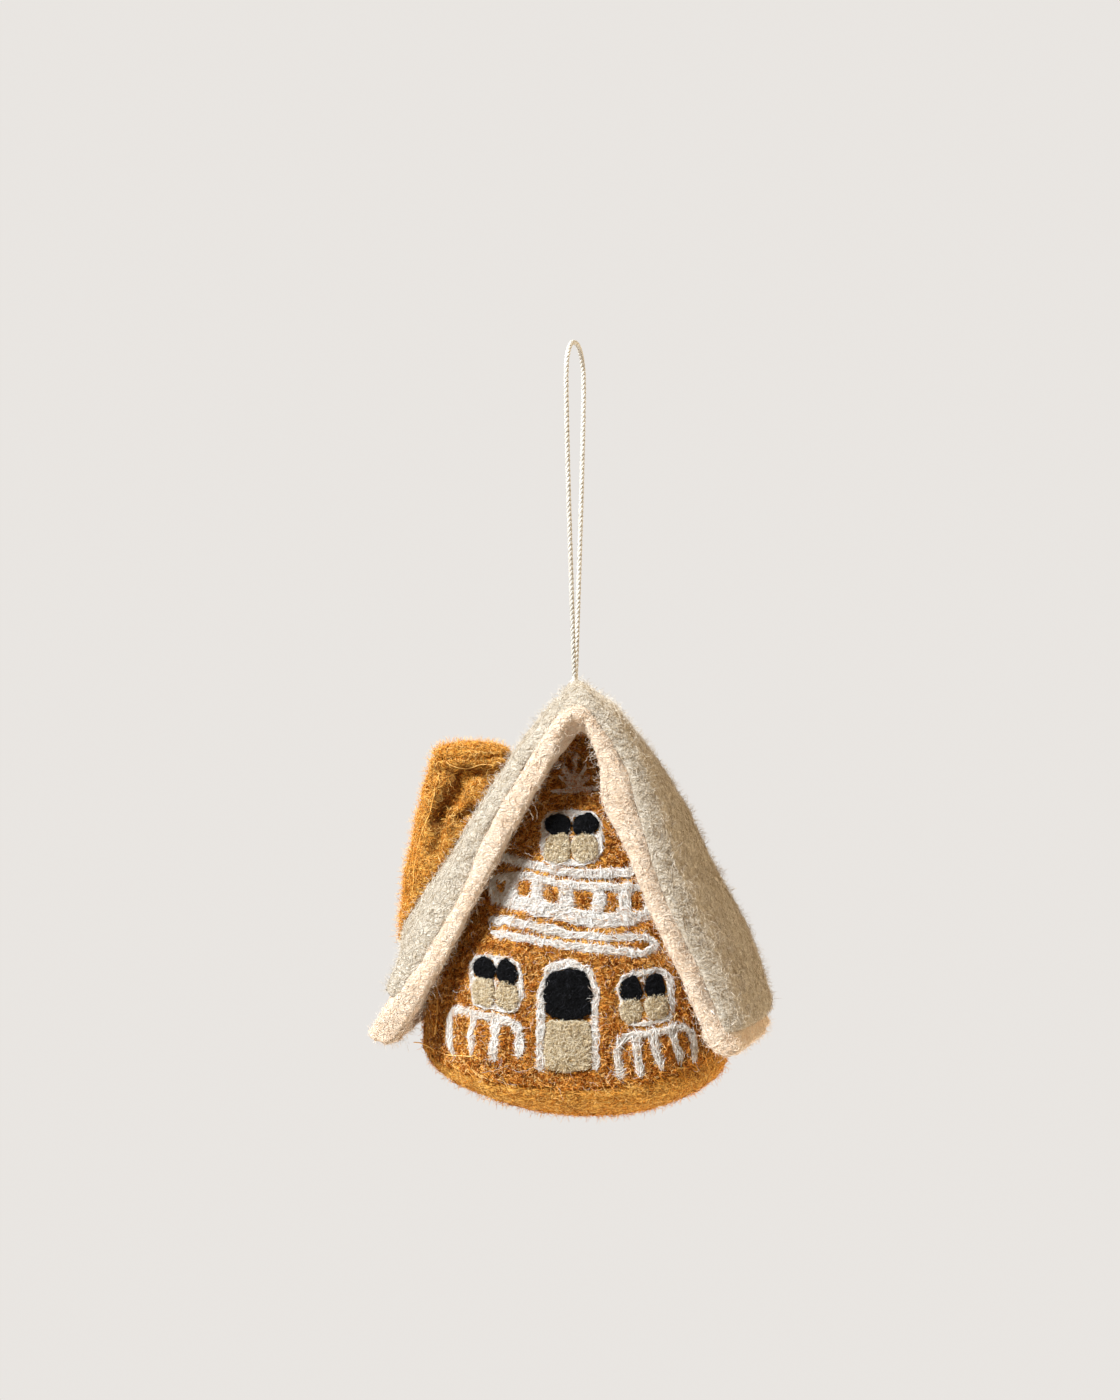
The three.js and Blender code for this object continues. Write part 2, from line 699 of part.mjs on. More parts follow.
const windows = {
  top: {
    x: 0.3, z: -35.1, width: 13.8, height: 12.3,
    line: 1.4, tiltShare: 0, leanShare: 0, barShare: 0.45,
  },
  left: {
    x: -16, z: -67.1, width: 12.2, height: 11.8,
    line: 1.3, tiltShare: -0.13, leanShare: 0, barShare: 0.46,
  },
  right: {
    x: 17.9, z: -69.7, width: 11.9, height: 12,
    line: 1.4, tiltShare: 0.14, leanShare: 0.14, barShare: 0.5,
  },
};
const windowCross = 0.9; // width of the strands between the panes
const windowShares = [
  [-1, 0], [-1, -0.5], [-0.86, -0.86], [-0.45, -1],
  [0, -1.02], [0.45, -1], [0.86, -0.86], [1, -0.5],
];
for (const [place, w] of Object.entries(windows)) {
  const put = sheared(w);
  const a = (w.width - w.line) / 2;
  const b = (w.height - w.line) / 2;
  const outline = [...windowShares, ...windowShares.map(([p, q]) => [-p, -q])];
  const bar = lerp(b, -b, w.barShare);
  const frame = joined([
    strand(outline.map(([p, q]) => put([p * a, q * b])), w.line, true),
    strand([put([0, b]), put([0, 0]), put([0, -b])], windowCross),
    strand([put([-a, bar]), put([0, bar]), put([a, bar])], windowCross),
  ]);
  add(`${place}_window_frame`, frame, white());
  const apart = w.line / 2 + windowCross / 2 + 2 * fit;
  const middle = (a + (windowCross - w.line) / 2) / 2;
  const halves = { dark: [bar, b], beige: [-b, bar] };
  for (const [kind, [low, high]] of Object.entries(halves)) {
    const inwards = (kind === 'dark' ? -1 : 1) * (w.line - windowCross) / 4;
    for (const [hand, sign] of Object.entries({ left: -1, right: 1 })) {
      const pane = patch(w, sign * middle, (high + low) / 2 + inwards, a - apart, high - low - apart);
      add(`${place}_window_${kind}_${hand}`, pane, kind === 'dark' ? black() : beige());
    }
  }
}

// Door: an arched white frame, dark glass above a beige panel

const door = { x: 0.1, foot: -85.4, head: -61.9, width: 13.6, line: 1.9, splitShare: 0.48 };
const glassSquareness = 3.4;
const panelSquareness = 6;
const doorHalf = (door.width - door.line) / 2;
const doorTall = door.head - door.foot - door.line / 2;
const archShares = [
  [-1.04, 0], [-1.02, 0.3], [-1, 0.6], [-0.96, 0.8], [-0.72, 0.95], [-0.3, 1],
  [0.3, 1], [0.72, 0.95], [0.96, 0.8], [1, 0.6], [1.02, 0.3], [1.04, 0],
];
const arch = archShares.map(([p, q]) => [door.x + p * doorHalf, door.foot + q * doorTall]);
add('door_frame', strand(arch, door.line), white());
const doorInside = 2 * doorHalf - door.line - 2 * fit;
const split = doorTall * door.splitShare;
const glassTop = doorTall - door.line / 2 - fit;
const doorFoot = { x: door.x, z: door.foot, tiltShare: 0, leanShare: 0 };
const glassTall = glassTop - split - fit;
const glass = patch(doorFoot, 0, (split + glassTop) / 2, doorInside, glassTall, glassSquareness);
add('door_glass', glass, black());
add('door_panel', patch(doorFoot, 0, split / 2 - fit, doorInside, split, panelSquareness), beige());

// Balcony: a rail, the railing with its row of openings, and a band looped back on itself

const balcony = {
  halfWidth: 17.5,
  smile: 5, // how far the lines curve down
  rail: 1.9,
  top: 1.8,
  foot: 3.6,
  post: 2.9,
  end: 1.9,
  band: 1.6,
};
const smile = {
  rail: { z: -39.3, shares: [0, 0.24, 0.6, 0.74, 0.7, 0.6] },
  top: { z: -43.4, shares: [0.2, 0, 0.32, 0.44, 0.5, 0.6] },
  foot: { z: -48, shares: [0, 0.32, 0.64, 0.92, 1.04, 0.86] },
  upper: { z: -53.1, shares: [0, 0.16, 0.46, 0.7, 0.76, 0.8] },
  lower: { z: -56.1, shares: [0, 0.2, 0.4, 0.6, 0.76, 0.84] },
};
function smileLine(name) {
  const { z, shares } = smile[name];
  return shares.map((share, i) => [
    lerp(-balcony.halfWidth, balcony.halfWidth, i / (shares.length - 1)),
    z - balcony.smile * share,
  ]);
}
add('balcony_rail', cut(strand(smileLine('rail'), balcony.rail), roofSpace), white());

const topLine = smileLine('top');
const footLine = smileLine('foot');
const lineAt = (line, share) => {
  const place = share * (line.length - 1);
  const i = Math.min(Math.floor(place), line.length - 2);
  return [0, 1].map((k) => lerp(line[i][k], line[i + 1][k], place - i));
};
const postShares = [0, 0.13, 0.295, 0.485, 0.69, 0.853, 1];
const posts = postShares.map((share, i) => {
  const [head, foot] = [lineAt(topLine, share), lineAt(footLine, share)];
  const outermost = i === 0 || i === postShares.length - 1;
  return strand([head, lineAt([head, foot], 0.5), foot], outermost ? balcony.end : balcony.post);
});
const railing = [strand(topLine, balcony.top), strand(footLine, balcony.foot), ...posts];
add('balcony_railing', joined(railing), white());

const upperLine = smileLine('upper');
const lowerLine = smileLine('lower');
const bandEnd = [balcony.halfWidth + balcony.band, (upperLine.at(-1)[1] + lowerLine.at(-1)[1]) / 2];
const band = [...upperLine, bandEnd, ...lowerLine.reverse()];
add('lower_band', strand(band, balcony.band), white());

// Fences: a rail with posts hanging from it

const fences = {
  left: {
    x: -26.5,
    z: -73.2,
    width: 16,
    height: 10,
    line: 1.7,
    railShares: [
      [0.05, -1], [0, -0.66], [-0.01, -0.38], [0.03, -0.08], [0.15, 0], [0.33, -0.05], [0.57, -0.11],
      [0.76, -0.15], [0.9, -0.22], [0.97, -0.33], [1, -0.57], [0.99, -0.92],
    ],
    postShares: [
      [[0.34, -0.06], [0.31, -0.48], [0.31, -0.93]],
      [[0.64, -0.13], [0.66, -0.55], [0.62, -0.87], [0.64, -1.03]],
    ],
  },
  right: {
    x: 11.2,
    z: -76.8,
    width: 16.4,
    height: 10,
    line: 1.6,
    railShares: [
      [0.05, -1.02], [0, -0.77], [-0.01, -0.5], [0.01, -0.24], [0.12, -0.16], [0.28, -0.11], [0.5, -0.06],
      [0.72, -0.01], [0.88, 0], [0.94, -0.06], [0.98, -0.29], [1.01, -0.72],
    ],
    postShares: [
      [[0.24, -0.13], [0.25, -0.56], [0.31, -1]],
      [[0.48, -0.07], [0.5, -0.4], [0.57, -0.9]],
      [[0.7, -0.02], [0.76, -0.32], [0.83, -0.74]],
    ],
  },
};
for (const [place, f] of Object.entries(fences)) {
  const lay = (shares) => strand(shares.map(([p, q]) => [f.x + p * f.width, f.z + q * f.height]), f.line);
  add(`${place}_fence`, joined([lay(f.railShares), ...f.postShares.map(lay)]), white());
}

export default ornament;
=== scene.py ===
import json
import math

import bmesh
import bpy
import numpy as np
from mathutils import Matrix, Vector, noise
from mathutils.bvhtree import BVHTree
from mathutils.kdtree import KDTree


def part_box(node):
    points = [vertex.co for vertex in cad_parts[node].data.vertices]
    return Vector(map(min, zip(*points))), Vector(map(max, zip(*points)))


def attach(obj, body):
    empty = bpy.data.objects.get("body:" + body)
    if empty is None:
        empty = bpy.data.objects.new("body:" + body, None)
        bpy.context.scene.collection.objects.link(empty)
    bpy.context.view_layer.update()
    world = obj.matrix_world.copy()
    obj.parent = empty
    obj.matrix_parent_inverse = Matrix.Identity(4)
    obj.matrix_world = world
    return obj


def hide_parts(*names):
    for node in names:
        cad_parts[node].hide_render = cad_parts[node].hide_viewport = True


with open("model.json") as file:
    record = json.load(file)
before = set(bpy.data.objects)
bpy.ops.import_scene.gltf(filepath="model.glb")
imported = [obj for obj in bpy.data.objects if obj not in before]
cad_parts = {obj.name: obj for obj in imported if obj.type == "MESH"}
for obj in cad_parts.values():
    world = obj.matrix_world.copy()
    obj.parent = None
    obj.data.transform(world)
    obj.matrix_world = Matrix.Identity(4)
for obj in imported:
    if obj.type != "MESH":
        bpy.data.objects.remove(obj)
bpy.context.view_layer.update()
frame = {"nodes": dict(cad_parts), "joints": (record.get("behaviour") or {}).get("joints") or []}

mm = 0.001
ridge = Vector(next(j for j in frame["joints"] if j["name"] == "swing")["pos_m"])  # top of the roof
noise.seed_set(7)  # the same noise each run


def tableOf(keys, rows):  # a dictionary for each row, by the name it starts with
    return {name: dict(zip(keys, row)) for name, *row in rows}


# Camera

cameraSet = {
    "azimuth": 3.5,  # degrees round to the right
    "distance": 0.6,
    "aimAcross": -3.49 * mm,
    "aimDown": 3.95 * mm,  # below the ridge
    "lens": 66.34,
    "sensor": 36.0,
}


def makeCamera():
    turn = math.radians(cameraSet["azimuth"])
    across = Vector((math.cos(turn), math.sin(turn), 0))
    ahead = Vector((-math.sin(turn), math.cos(turn), 0))
    data = bpy.data.cameras.new("photo_camera")
    data.lens = cameraSet["lens"]
    data.sensor_width = cameraSet["sensor"]
    data.clip_start = 0.01
    camera = bpy.data.objects.new("photo_camera", data)
    aim = across * cameraSet["aimAcross"] + Vector((0, 0, ridge.z - cameraSet["aimDown"]))
    camera.location = aim - ahead * cameraSet["distance"]
    camera.rotation_euler = (math.pi / 2, 0, turn)
    bpy.context.scene.collection.objects.link(camera)
    bpy.context.scene.camera = camera


makeCamera()
print("camera placed")


# Meshes and pieces

def newPiece(name, mesh):
    piece = bpy.data.objects.new(name, mesh)
    bpy.context.scene.collection.objects.link(piece)
    return piece


def unit(vectors):
    return vectors / np.maximum(np.linalg.norm(vectors, axis=-1, keepdims=True), 1e-12)


def readThrees(items, key, kind=float):
    found = np.zeros(len(items) * 3, kind)
    items.foreach_get(key, found)
    return found.reshape(-1, 3)


def readPoints(mesh):
    return readThrees(mesh.vertices, "co")


def readNormals(mesh):
    return readThrees(mesh.vertex_normals, "vector")


def readTriangles(mesh):
    mesh.calc_loop_triangles()
    return readThrees(mesh.loop_triangles, "vertices", np.int32)


def surfaceOf(*pieces):  # one search tree over several pieces
    points, faces, seen = [], [], 0
    for piece in pieces:
        found = readPoints(piece.data)
        points.append(found)
        faces.append(readTriangles(piece.data) + seen)
        seen += len(found)
    return BVHTree.FromPolygons(np.concatenate(points).tolist(), np.concatenate(faces).tolist())


def dress(piece, finish, stands=(), body="house"):
    piece.data.materials.clear()
    piece.data.materials.append(finish)
    piece.data.shade_smooth()
    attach(piece, body)
    if stands:
        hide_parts(*stands)
    return piece


# Tubes: each row of paths is one strand that tapers to a point at both ends

def tubeMesh(name, paths, radii, sides, shades):
    count, length = paths.shape[:2]
    along = unit(np.gradient(paths, axis=1))
    guide = np.eye(3)[np.argmin(np.abs(along[:, length // 2]), axis=1)]
    aside = np.cross(along[:, length // 2], guide)[:, None, :]
    aside = unit(aside - along * (aside * along).sum(-1, keepdims=True))
    other = np.cross(along, aside)[:, 1:-1, None, :]
    aside = aside[:, 1:-1, None, :]
    turn = 2 * np.pi * np.arange(sides)[:, None] / sides
    rings = length - 2
    reach = radii[:, :, None, None]
    ringPoints = paths[:, 1:-1, None, :] + reach * np.cos(turn) * aside + reach * np.sin(turn) * other
    ringPoints = ringPoints.reshape(count, rings * sides, 3)
    points = np.concatenate([paths[:, :1], ringPoints, paths[:, -1:]], axis=1)
    each = points.shape[1]
    tips, quads = [], []
    for j in range(sides):
        k = (j + 1) % sides
        tips.append((0, 1 + k, 1 + j))
        tips.append((each - 1, 1 + (rings - 1) * sides + j, 1 + (rings - 1) * sides + k))
        for i in range(rings - 1):
            low, high = 1 + i * sides, 1 + (i + 1) * sides
            quads.append((low + j, low + k, high + k, high + j))
    starts = (np.arange(count) * each)[:, None, None]
    faces = (np.array(tips)[None] + starts).reshape(-1, 3).tolist()
    faces += (np.array(quads)[None] + starts).reshape(-1, 4).tolist()
    mesh = bpy.data.meshes.new(name)
    mesh.from_pydata(points.reshape(-1, 3).tolist(), [], faces)
    layer = mesh.attributes.new("shade", "FLOAT", "POINT")
    layer.data.foreach_set("value", np.repeat(shades * np.ones(count), each).astype(np.float32))
    layTubeMap(mesh, count, each)
    return mesh


def layTubeMap(mesh, count, each):  # a small square of the map for each strand
    squares = math.ceil(math.sqrt(count))
    strand = np.arange(count * each) // each
    step = np.arange(count * each) % each
    inside = np.stack([step % 4, step // 4], axis=1) / max(4, math.ceil(each / 4))
    place = (np.stack([strand % squares, strand // squares], axis=1) + 0.1 + 0.8 * inside) / squares
    corners = np.zeros(len(mesh.loops), np.int32)
    mesh.loops.foreach_get("vertex_index", corners)
    layer = mesh.uv_layers.new(name="OFBake")
    layer.data.foreach_set("uv", place[corners].astype(np.float32).ravel())


def strandPiece(name, paths, radii, sides, finish, slotName, stands=(), body="house", shades=0.0):
    radii = radii * np.ones((len(paths), paths.shape[1] - 2))
    return dress(newPiece(name, tubeMesh(name, paths, radii, sides, shades)), finish, stands, body)


# Shaders

class Value:  # a shader value that adds its own Math nodes
    def __init__(self, shader, socket):
        self.shader = shader
        self.socket = socket

    def maths(self, operation, *terms):
        made = self.shader.add("ShaderNodeMath", {"operation": operation}, dict(enumerate(terms)))
        return Value(self.shader, made.outputs[0])

    def __add__(self, other):
        return self.maths("ADD", self, other)

    def __mul__(self, other):
        return self.maths("MULTIPLY", self, other)

    __radd__, __rmul__ = __add__, __mul__

    def larger(self, other):
        return self.maths("MAXIMUM", self, other)

    def between(self, low, high):  # 0 at low, 1 at high
        made = self.shader.add(
            "ShaderNodeMapRange", {"clamp": True}, {"Value": self, "From Min": low, "From Max": high}
        )
        return Value(self.shader, made.outputs[0])


class Shader:
    def __init__(self, owner):
        owner.use_nodes = True
        self.tree = owner.node_tree
        self.tree.nodes.clear()

    def add(self, kind, settings=None, inputs=None):
        made = self.tree.nodes.new(kind)
        for key, value in (settings or {}).items():
            if key == "stops":
                self.setStops(made.color_ramp, value)
            else:
                setattr(made, key, value)
        for key, value in (inputs or {}).items():
            socket = made.inputs[key] if isinstance(key, int) else self.inputOf(made, key)
            source = value.socket if isinstance(value, Value) else value
            if isinstance(source, bpy.types.NodeSocket):
                self.tree.links.new(source, socket)
            else:
                socket.default_value = source
        return made

    def inputOf(self, made, name):
        return next(s for s in made.inputs if s.name == name and s.enabled)

    def setStops(self, ramp, stops):
        while len(ramp.elements) < len(stops):
            ramp.elements.new(1)
        for element, (place, colour) in zip(ramp.elements, stops):
            element.position = place
            element.color = (*colour, 1)

    def mix(self, factor, first, second):
        colours = [(*c, 1) if isinstance(c, tuple) else c for c in (first, second)]
        made = self.add(
            "ShaderNodeMix", {"data_type": "RGBA"}, {"Factor": factor, "A": colours[0], "B": colours[1]}
        )
        return made.outputs[2]

    def ramp(self, factor, stops):
        return self.add("ShaderNodeValToRGB", {"stops": stops}, {"Fac": factor}).outputs[0]

    def vector(self, operation, *terms):
        return self.add("ShaderNodeVectorMath", {"operation": operation}, dict(enumerate(terms))).outputs[0]

    def noise(self, place, scale, detail, roughness=0.5):
        inputs = {"Vector": place, "Scale": scale, "Detail": detail, "Roughness": roughness}
        return self.add("ShaderNodeTexNoise", None, inputs)

    def attribute(self, name):
        return Value(self, self.add("ShaderNodeAttribute", {"attribute_name": name}).outputs["Fac"])

    def place(self):
        return self.add("ShaderNodeTexCoord").outputs["Object"]

    def surface(self, inputs):  # a principled surface as the material's output
        made = self.add("ShaderNodeBsdfPrincipled", None, inputs)
        self.add("ShaderNodeOutputMaterial", None, {"Surface": made.outputs[0]})


feltLook = {
    "broad": 0.12,  # mottling, per mm
    "broadEdge": (0.35, 0.65),
    "wander": 0.45,  # how fast the fibres change direction, per mm
    "wanderReach": 2.4,  # how far that bends them, in mm
    "strandAcross": 2.6,  # strands per mm
    "strandAlong": 0.55,
    "strandEdge": (0.48, 0.66),
    "strandRough": 0.55,
    "grain": 5.0,
    "pitEdge": (0.6, 0.4),
    "grainHeight": 0.35,
    # how strongly the chimney's folds are darkened: painted shade, partly the felt's own darker tone
    "foldShadeAndTone": 0.7,
    "turns": ((0.3, 0.5, 0.2), (1.2, 0.2, 1.1), (0.4, 1.3, 2.2)),
    "shared": {"Roughness": 0.95, "Specular IOR Level": 0.15, "Sheen Roughness": 0.5},
}


def feltPattern(shader, fineness):  # broad patches, tangled strands and grain
    place = shader.add("ShaderNodeVectorMath", {"operation": "SCALE"}, {0: shader.place(), "Scale": 1 / mm})
    place = place.outputs[0]
    broad = Value(shader, shader.noise(place, feltLook["broad"] * fineness, 3).outputs[0])
    bent = shader.noise(place, feltLook["wander"] * fineness, 2).outputs["Color"]
    bent = shader.vector("SUBTRACT", bent, (0.5, 0.5, 0.5))
    reach = feltLook["wanderReach"] / fineness
    bent = shader.vector("MULTIPLY", bent, (reach, reach, reach))
    place = shader.vector("ADD", place, bent)
    along, across = feltLook["strandAlong"] * fineness, feltLook["strandAcross"] * fineness
    strands = None
    for turn in feltLook["turns"]:
        turned = shader.add(
            "ShaderNodeMapping", None, {"Vector": place, "Rotation": turn, "Scale": (along, across, across)}
        ).outputs[0]
        layer = Value(shader, shader.noise(turned, 1.0, 2, feltLook["strandRough"]).outputs[0])
        strands = layer if strands is None else strands.larger(layer)
    grain = Value(shader, shader.noise(place, feltLook["grain"] * fineness, 2).outputs[0])
    return broad, strands.between(*feltLook["strandEdge"]), grain


def feltMaterial(look):
    material = bpy.data.materials.new(look["name"])
    shader = Shader(material)
    broad, strands, grain = feltPattern(shader, look.get("fineness", 1.0))
    depth = shader.mix(broad.between(*feltLook["broadEdge"]), look["dark"], look["middle"])
    depth = shader.mix(grain.between(*feltLook["pitEdge"]) * look["pits"], depth, look["pit"])
    colour = shader.mix(strands * look["contrast"], depth, look["light"])
    # painted shade in the chimney's folds, partly the felt's own darker tone
    colour = shader.mix(shader.attribute("fold") * feltLook["foldShadeAndTone"], colour, look["pit"])
    height = strands + grain * feltLook["grainHeight"]
    bumped = shader.add(
        "ShaderNodeBump", None, {"Strength": 1.0, "Distance": look["bump"] * mm, "Height": height}
    ).outputs[0]
    shader.surface({
        "Base Color": colour,
        "Sheen Weight": look.get("sheen", 0.0),
        "Sheen Tint": (*look["light"], 1),
        "Normal": bumped,
        **feltLook["shared"],
    })
    return material


def fibreMaterial(name, stops):
    material = bpy.data.materials.new(name)
    shader = Shader(material)
    colour = shader.ramp(shader.attribute("shade"), stops)
    shader.surface({"Base Color": colour, "Roughness": 0.75, "Specular IOR Level": 0.12})
    return material


feltKeys = "name", "slot", "pit", "dark", "middle", "light", "contrast", "pits", "bump", "fineness", "sheen"
feltLooks = tableOf(feltKeys, [
    ("sage", "sage wool felt", "sage_felt",
     (0.28, 0.205, 0.12), (0.475, 0.39, 0.285), (0.555, 0.47, 0.355), (0.75, 0.685, 0.59),
     0.75, 0.85, 0.2, 1.0, 0.1),
    ("peach", "peach wool felt", "peach_felt",
     (0.68, 0.44, 0.26), (0.8, 0.585, 0.4), (0.86, 0.675, 0.505), (0.92, 0.81, 0.68),
     0.65, 0.35, 0.25, 1.1, 0.1),
    ("rust", "rust wool felt", "rust_felt",
     (0.055, 0.009, 0.001), (0.22, 0.048, 0.003), (0.5, 0.14, 0.01), (1.0, 0.5, 0.1),
     0.9, 1.0, 0.3, 1.1),
    ("mustard", "mustard wool felt", "mustard_felt",
     (0.1, 0.022, 0.002), (0.44, 0.13, 0.009), (0.78, 0.28, 0.022), (0.97, 0.54, 0.125),
     0.9, 0.95, 0.3, 1.05),
    ("white", "white needled wool", "white_wool",
     (0.58, 0.38, 0.24), (0.8, 0.72, 0.62), (0.88, 0.83, 0.76), (0.95, 0.92, 0.87),
     0.9, 0.7, 0.3, 1.7),
    ("black", "black needled wool", "black_wool",
     (0.0008, 0.0008, 0.0008), (0.0015, 0.0015, 0.0018), (0.002, 0.002, 0.0025), (0.008, 0.008, 0.01),
     0.5, 0.5, 0.3, 1.5),
    ("beige", "beige needled wool", "beige_wool",
     (0.31, 0.2, 0.08), (0.565, 0.405, 0.215), (0.7, 0.535, 0.31), (0.91, 0.8, 0.615),
     0.9, 0.7, 0.4, 1.5),
    ("cotton", "twisted cotton", "cotton_string",
     (0.62, 0.52, 0.4), (0.62, 0.57, 0.49), (0.71, 0.68, 0.62), (0.8, 0.78, 0.73),
     0.6, 0.3, 0.05, 3.0),
    ("stuffing", "wool filling", "wool_stuffing",
     (0.5, 0.4, 0.26), (0.62, 0.52, 0.36), (0.75, 0.67, 0.5), (0.86, 0.81, 0.68),
     0.7, 0.4, 0.4, 1.0, 0.1),
])
felts = {key: feltMaterial(look) for key, look in feltLooks.items()}
fibreTones = {
    "sage": [(0, (0.34, 0.25, 0.15)), (0.3, (0.555, 0.457, 0.335)), (1, (0.845, 0.772, 0.665))],
    "peach": [(0, (0.80, 0.58, 0.40)), (0.35, (0.86, 0.675, 0.505)), (1, (0.94, 0.86, 0.75))],
    "rust": [
        (0, (0.06, 0.010, 0.001)), (0.4, (0.40, 0.10, 0.007)),
        (0.75, (0.86, 0.36, 0.055)), (1, (0.98, 0.67, 0.28)),
    ],
    "mustard": [
        (0, (0.13, 0.03, 0.002)), (0.4, (0.62, 0.21, 0.016)),
        (0.7, (0.92, 0.445, 0.07)), (1, (0.98, 0.67, 0.25)),
    ],
    "white": [(0, (0.62, 0.46, 0.34)), (0.25, (0.90, 0.86, 0.80)), (1, (0.97, 0.96, 0.94))],
    "black": [(0, (0.001, 0.001, 0.001)), (0.85, (0.004, 0.004, 0.005)), (1, (0.03, 0.03, 0.036))],
    "beige": [(0, (0.37, 0.25, 0.11)), (0.4, (0.72, 0.565, 0.345)), (1, (0.96, 0.88, 0.71))],
    "cotton": [(0, (0.80, 0.75, 0.66)), (1, (0.92, 0.90, 0.86))],
}
fibreFinish = {key: fibreMaterial(f"{key} fibres", stops) for key, stops in fibreTones.items()}
print("materials made")


def dressFelt(piece, colour, node):
    return dress(piece, felts[colour], [node])


# Hanging string: three cotton plies twisted round one line

stringSet = {
    "diameter": 1.1 * mm,
    "plies": 3,
    "looseness": 1.08,  # the plies stand out a little past the plain cord
    "plyRadius": 0.34 * mm,
    "uneven": 0.06,
    "pitch": 3.4 * mm,
    "step": 0.3 * mm,
    "sides": 8,
    "top": (0.0, 0.0, 0.00055),
    "strand": [  # one strand from the ridge to the top, in metres; the other is its mirror image
        (-0.0001, -0.00072, -0.0771), (-0.0002, -0.0011, -0.074), (-0.00045, -0.00205, -0.065),
        (-0.0007, -0.0031, -0.055), (-0.00095, -0.00415, -0.045), (-0.0012, -0.0052, -0.035),
        (-0.0014, -0.0062, -0.025), (-0.00155, -0.00715, -0.016), (-0.0016, -0.00785, -0.010),
        (-0.0015, -0.0077, -0.0052), (-0.0012, -0.0062, -0.0022), (-0.0007, -0.0036, -0.00015),
    ],
}
otherStrand = [(-x, -y, z) for x, y, z in reversed(stringSet["strand"])]
stringRoute = [*stringSet["strand"], stringSet["top"], *otherStrand]


def smoothLine(route, step):  # a centripetal Catmull-Rom curve, cut into even steps
    route = np.array(route, float)
    route = np.concatenate([[2 * route[0] - route[1]], route, [2 * route[-1] - route[-2]]])
    line = []
    for a, b, c, d in zip(route, route[1:], route[2:], route[3:]):
        knots = np.cumsum([0] + [math.sqrt(np.linalg.norm(q - p)) for p, q in ((a, b), (b, c), (c, d))])
        for t in np.linspace(knots[1], knots[2], 40, endpoint=False):
            ab = a + (b - a) * (t - knots[0]) / (knots[1] - knots[0])
            bc = b + (c - b) * (t - knots[1]) / (knots[2] - knots[1])
            cd = c + (d - c) * (t - knots[2]) / (knots[3] - knots[2])
            abc = ab + (bc - ab) * (t - knots[0]) / (knots[2] - knots[0])
            bcd = bc + (cd - bc) * (t - knots[1]) / (knots[3] - knots[1])
            line.append(abc + (bcd - abc) * (t - knots[1]) / (knots[2] - knots[1]))
    line = np.array(line + [route[-2]])
    walked = np.concatenate([[0], np.cumsum(np.linalg.norm(np.diff(line, axis=0), axis=1))])
    stops = np.linspace(0, walked[-1], max(3, round(walked[-1] / step) + 1))
    return np.stack([np.interp(stops, walked, line[:, k]) for k in range(3)], axis=1), walked[-1]


def plied(line, length):  # the plies wound round the line
    along = unit(np.gradient(line, axis=0))
    aside = unit(np.array([1.0, 0.0, 0.0]) - along * along[:, :1])
    other = np.cross(along, aside)
    walked = np.linspace(0, length, len(line))
    reach = stringSet["diameter"] * stringSet["looseness"] / 2 - stringSet["plyRadius"]
    paths = []
    for k in range(stringSet["plies"]):
        turn = 2 * np.pi * (walked / stringSet["pitch"] + k / stringSet["plies"])
        paths.append(line + (np.cos(turn)[:, None] * aside + np.sin(turn)[:, None] * other) * reach)
    return np.array(paths)


def makeString():
    line, length = smoothLine(stringRoute, stringSet["step"])
    paths = plied(line, length)
    rng = np.random.default_rng(3)
    swell = 1 + stringSet["uneven"] * rng.standard_normal((len(paths), len(line) - 2))
    swell = (swell + np.roll(swell, 1, axis=1) + np.roll(swell, 2, axis=1)) / 3
    radii = stringSet["plyRadius"] * np.minimum(swell, 1.0)
    finish = felts["cotton"], feltLooks["cotton"]["slot"]
    piece = strandPiece("string_loop", paths, radii, stringSet["sides"], *finish, ["hanging_loop"], "loop")


makeString()

knotSet = {
    "reach": 0.62 * mm,
    "high": 1.4,
    "strand": 0.42 * mm,
    "steps": 90,
    "rise": 0.3 * mm,
    "tail": 2.2 * mm,
    "thinner": 0.9,
}


def makeKnot():  # an overhand knot in the ridge, with the two strands that rise from it
    turn = np.linspace(0, 2 * np.pi, knotSet["steps"])
    wide, high = 2 + np.cos(3 * turn), knotSet["high"] * np.sin(3 * turn)
    knot = np.stack([wide * np.cos(2 * turn), wide * np.sin(2 * turn), high], axis=1)
    paths = [np.array(ridge) + knot * knotSet["reach"] / 2]
    for end in (stringRoute[0], stringRoute[-1]):
        top = np.array(end) + np.array([0, 0, knotSet["rise"]])
        foot = top - np.array([0, 0, knotSet["tail"]])
        paths.append(np.linspace(top, foot, knotSet["steps"]))
    tail = stringSet["diameter"] / 2 * knotSet["thinner"]
    radii = np.array([[knotSet["strand"]], [tail], [tail]])
    finish = felts["cotton"], feltLooks["cotton"]["slot"]
    strandPiece("string_knot", np.array(paths), radii, stringSet["sides"], *finish, ["loop_knot"], "knot")


makeKnot()
print("string and knot made")


# Felting: a copy of a solid, grown together, softened and pushed about by noise

def copyOf(name, node):
    work = bmesh.new()
    work.from_mesh(frame["nodes"][node].data)
    bmesh.ops.remove_doubles(work, verts=work.verts, dist=0.005 * mm)
    mesh = bpy.data.meshes.new(name)
    work.to_mesh(mesh)
    work.free()
    return mesh


def settle(piece):
    mesh = bpy.data.meshes.new_from_object(piece.evaluated_get(bpy.context.evaluated_depsgraph_get()))
    piece.modifiers.clear()
    piece.data = mesh


def noiseAt(points, size, seed):
    offset = Vector((seed * 7.31, seed * 3.17, seed * 5.71))
    return np.array([noise.noise(Vector(p) + offset) for p in points / (size * mm)])


def driftAt(points, size, seed):
    offset = Vector((seed * 2.71, seed * 9.17, seed * 4.33))
    return np.array([noise.noise_vector(Vector(p) + offset) for p in points / (size * mm)])


def movePoints(piece, points):
    piece.data.vertices.foreach_set("co", points.astype(np.float32).ravel())
    piece.data.update()


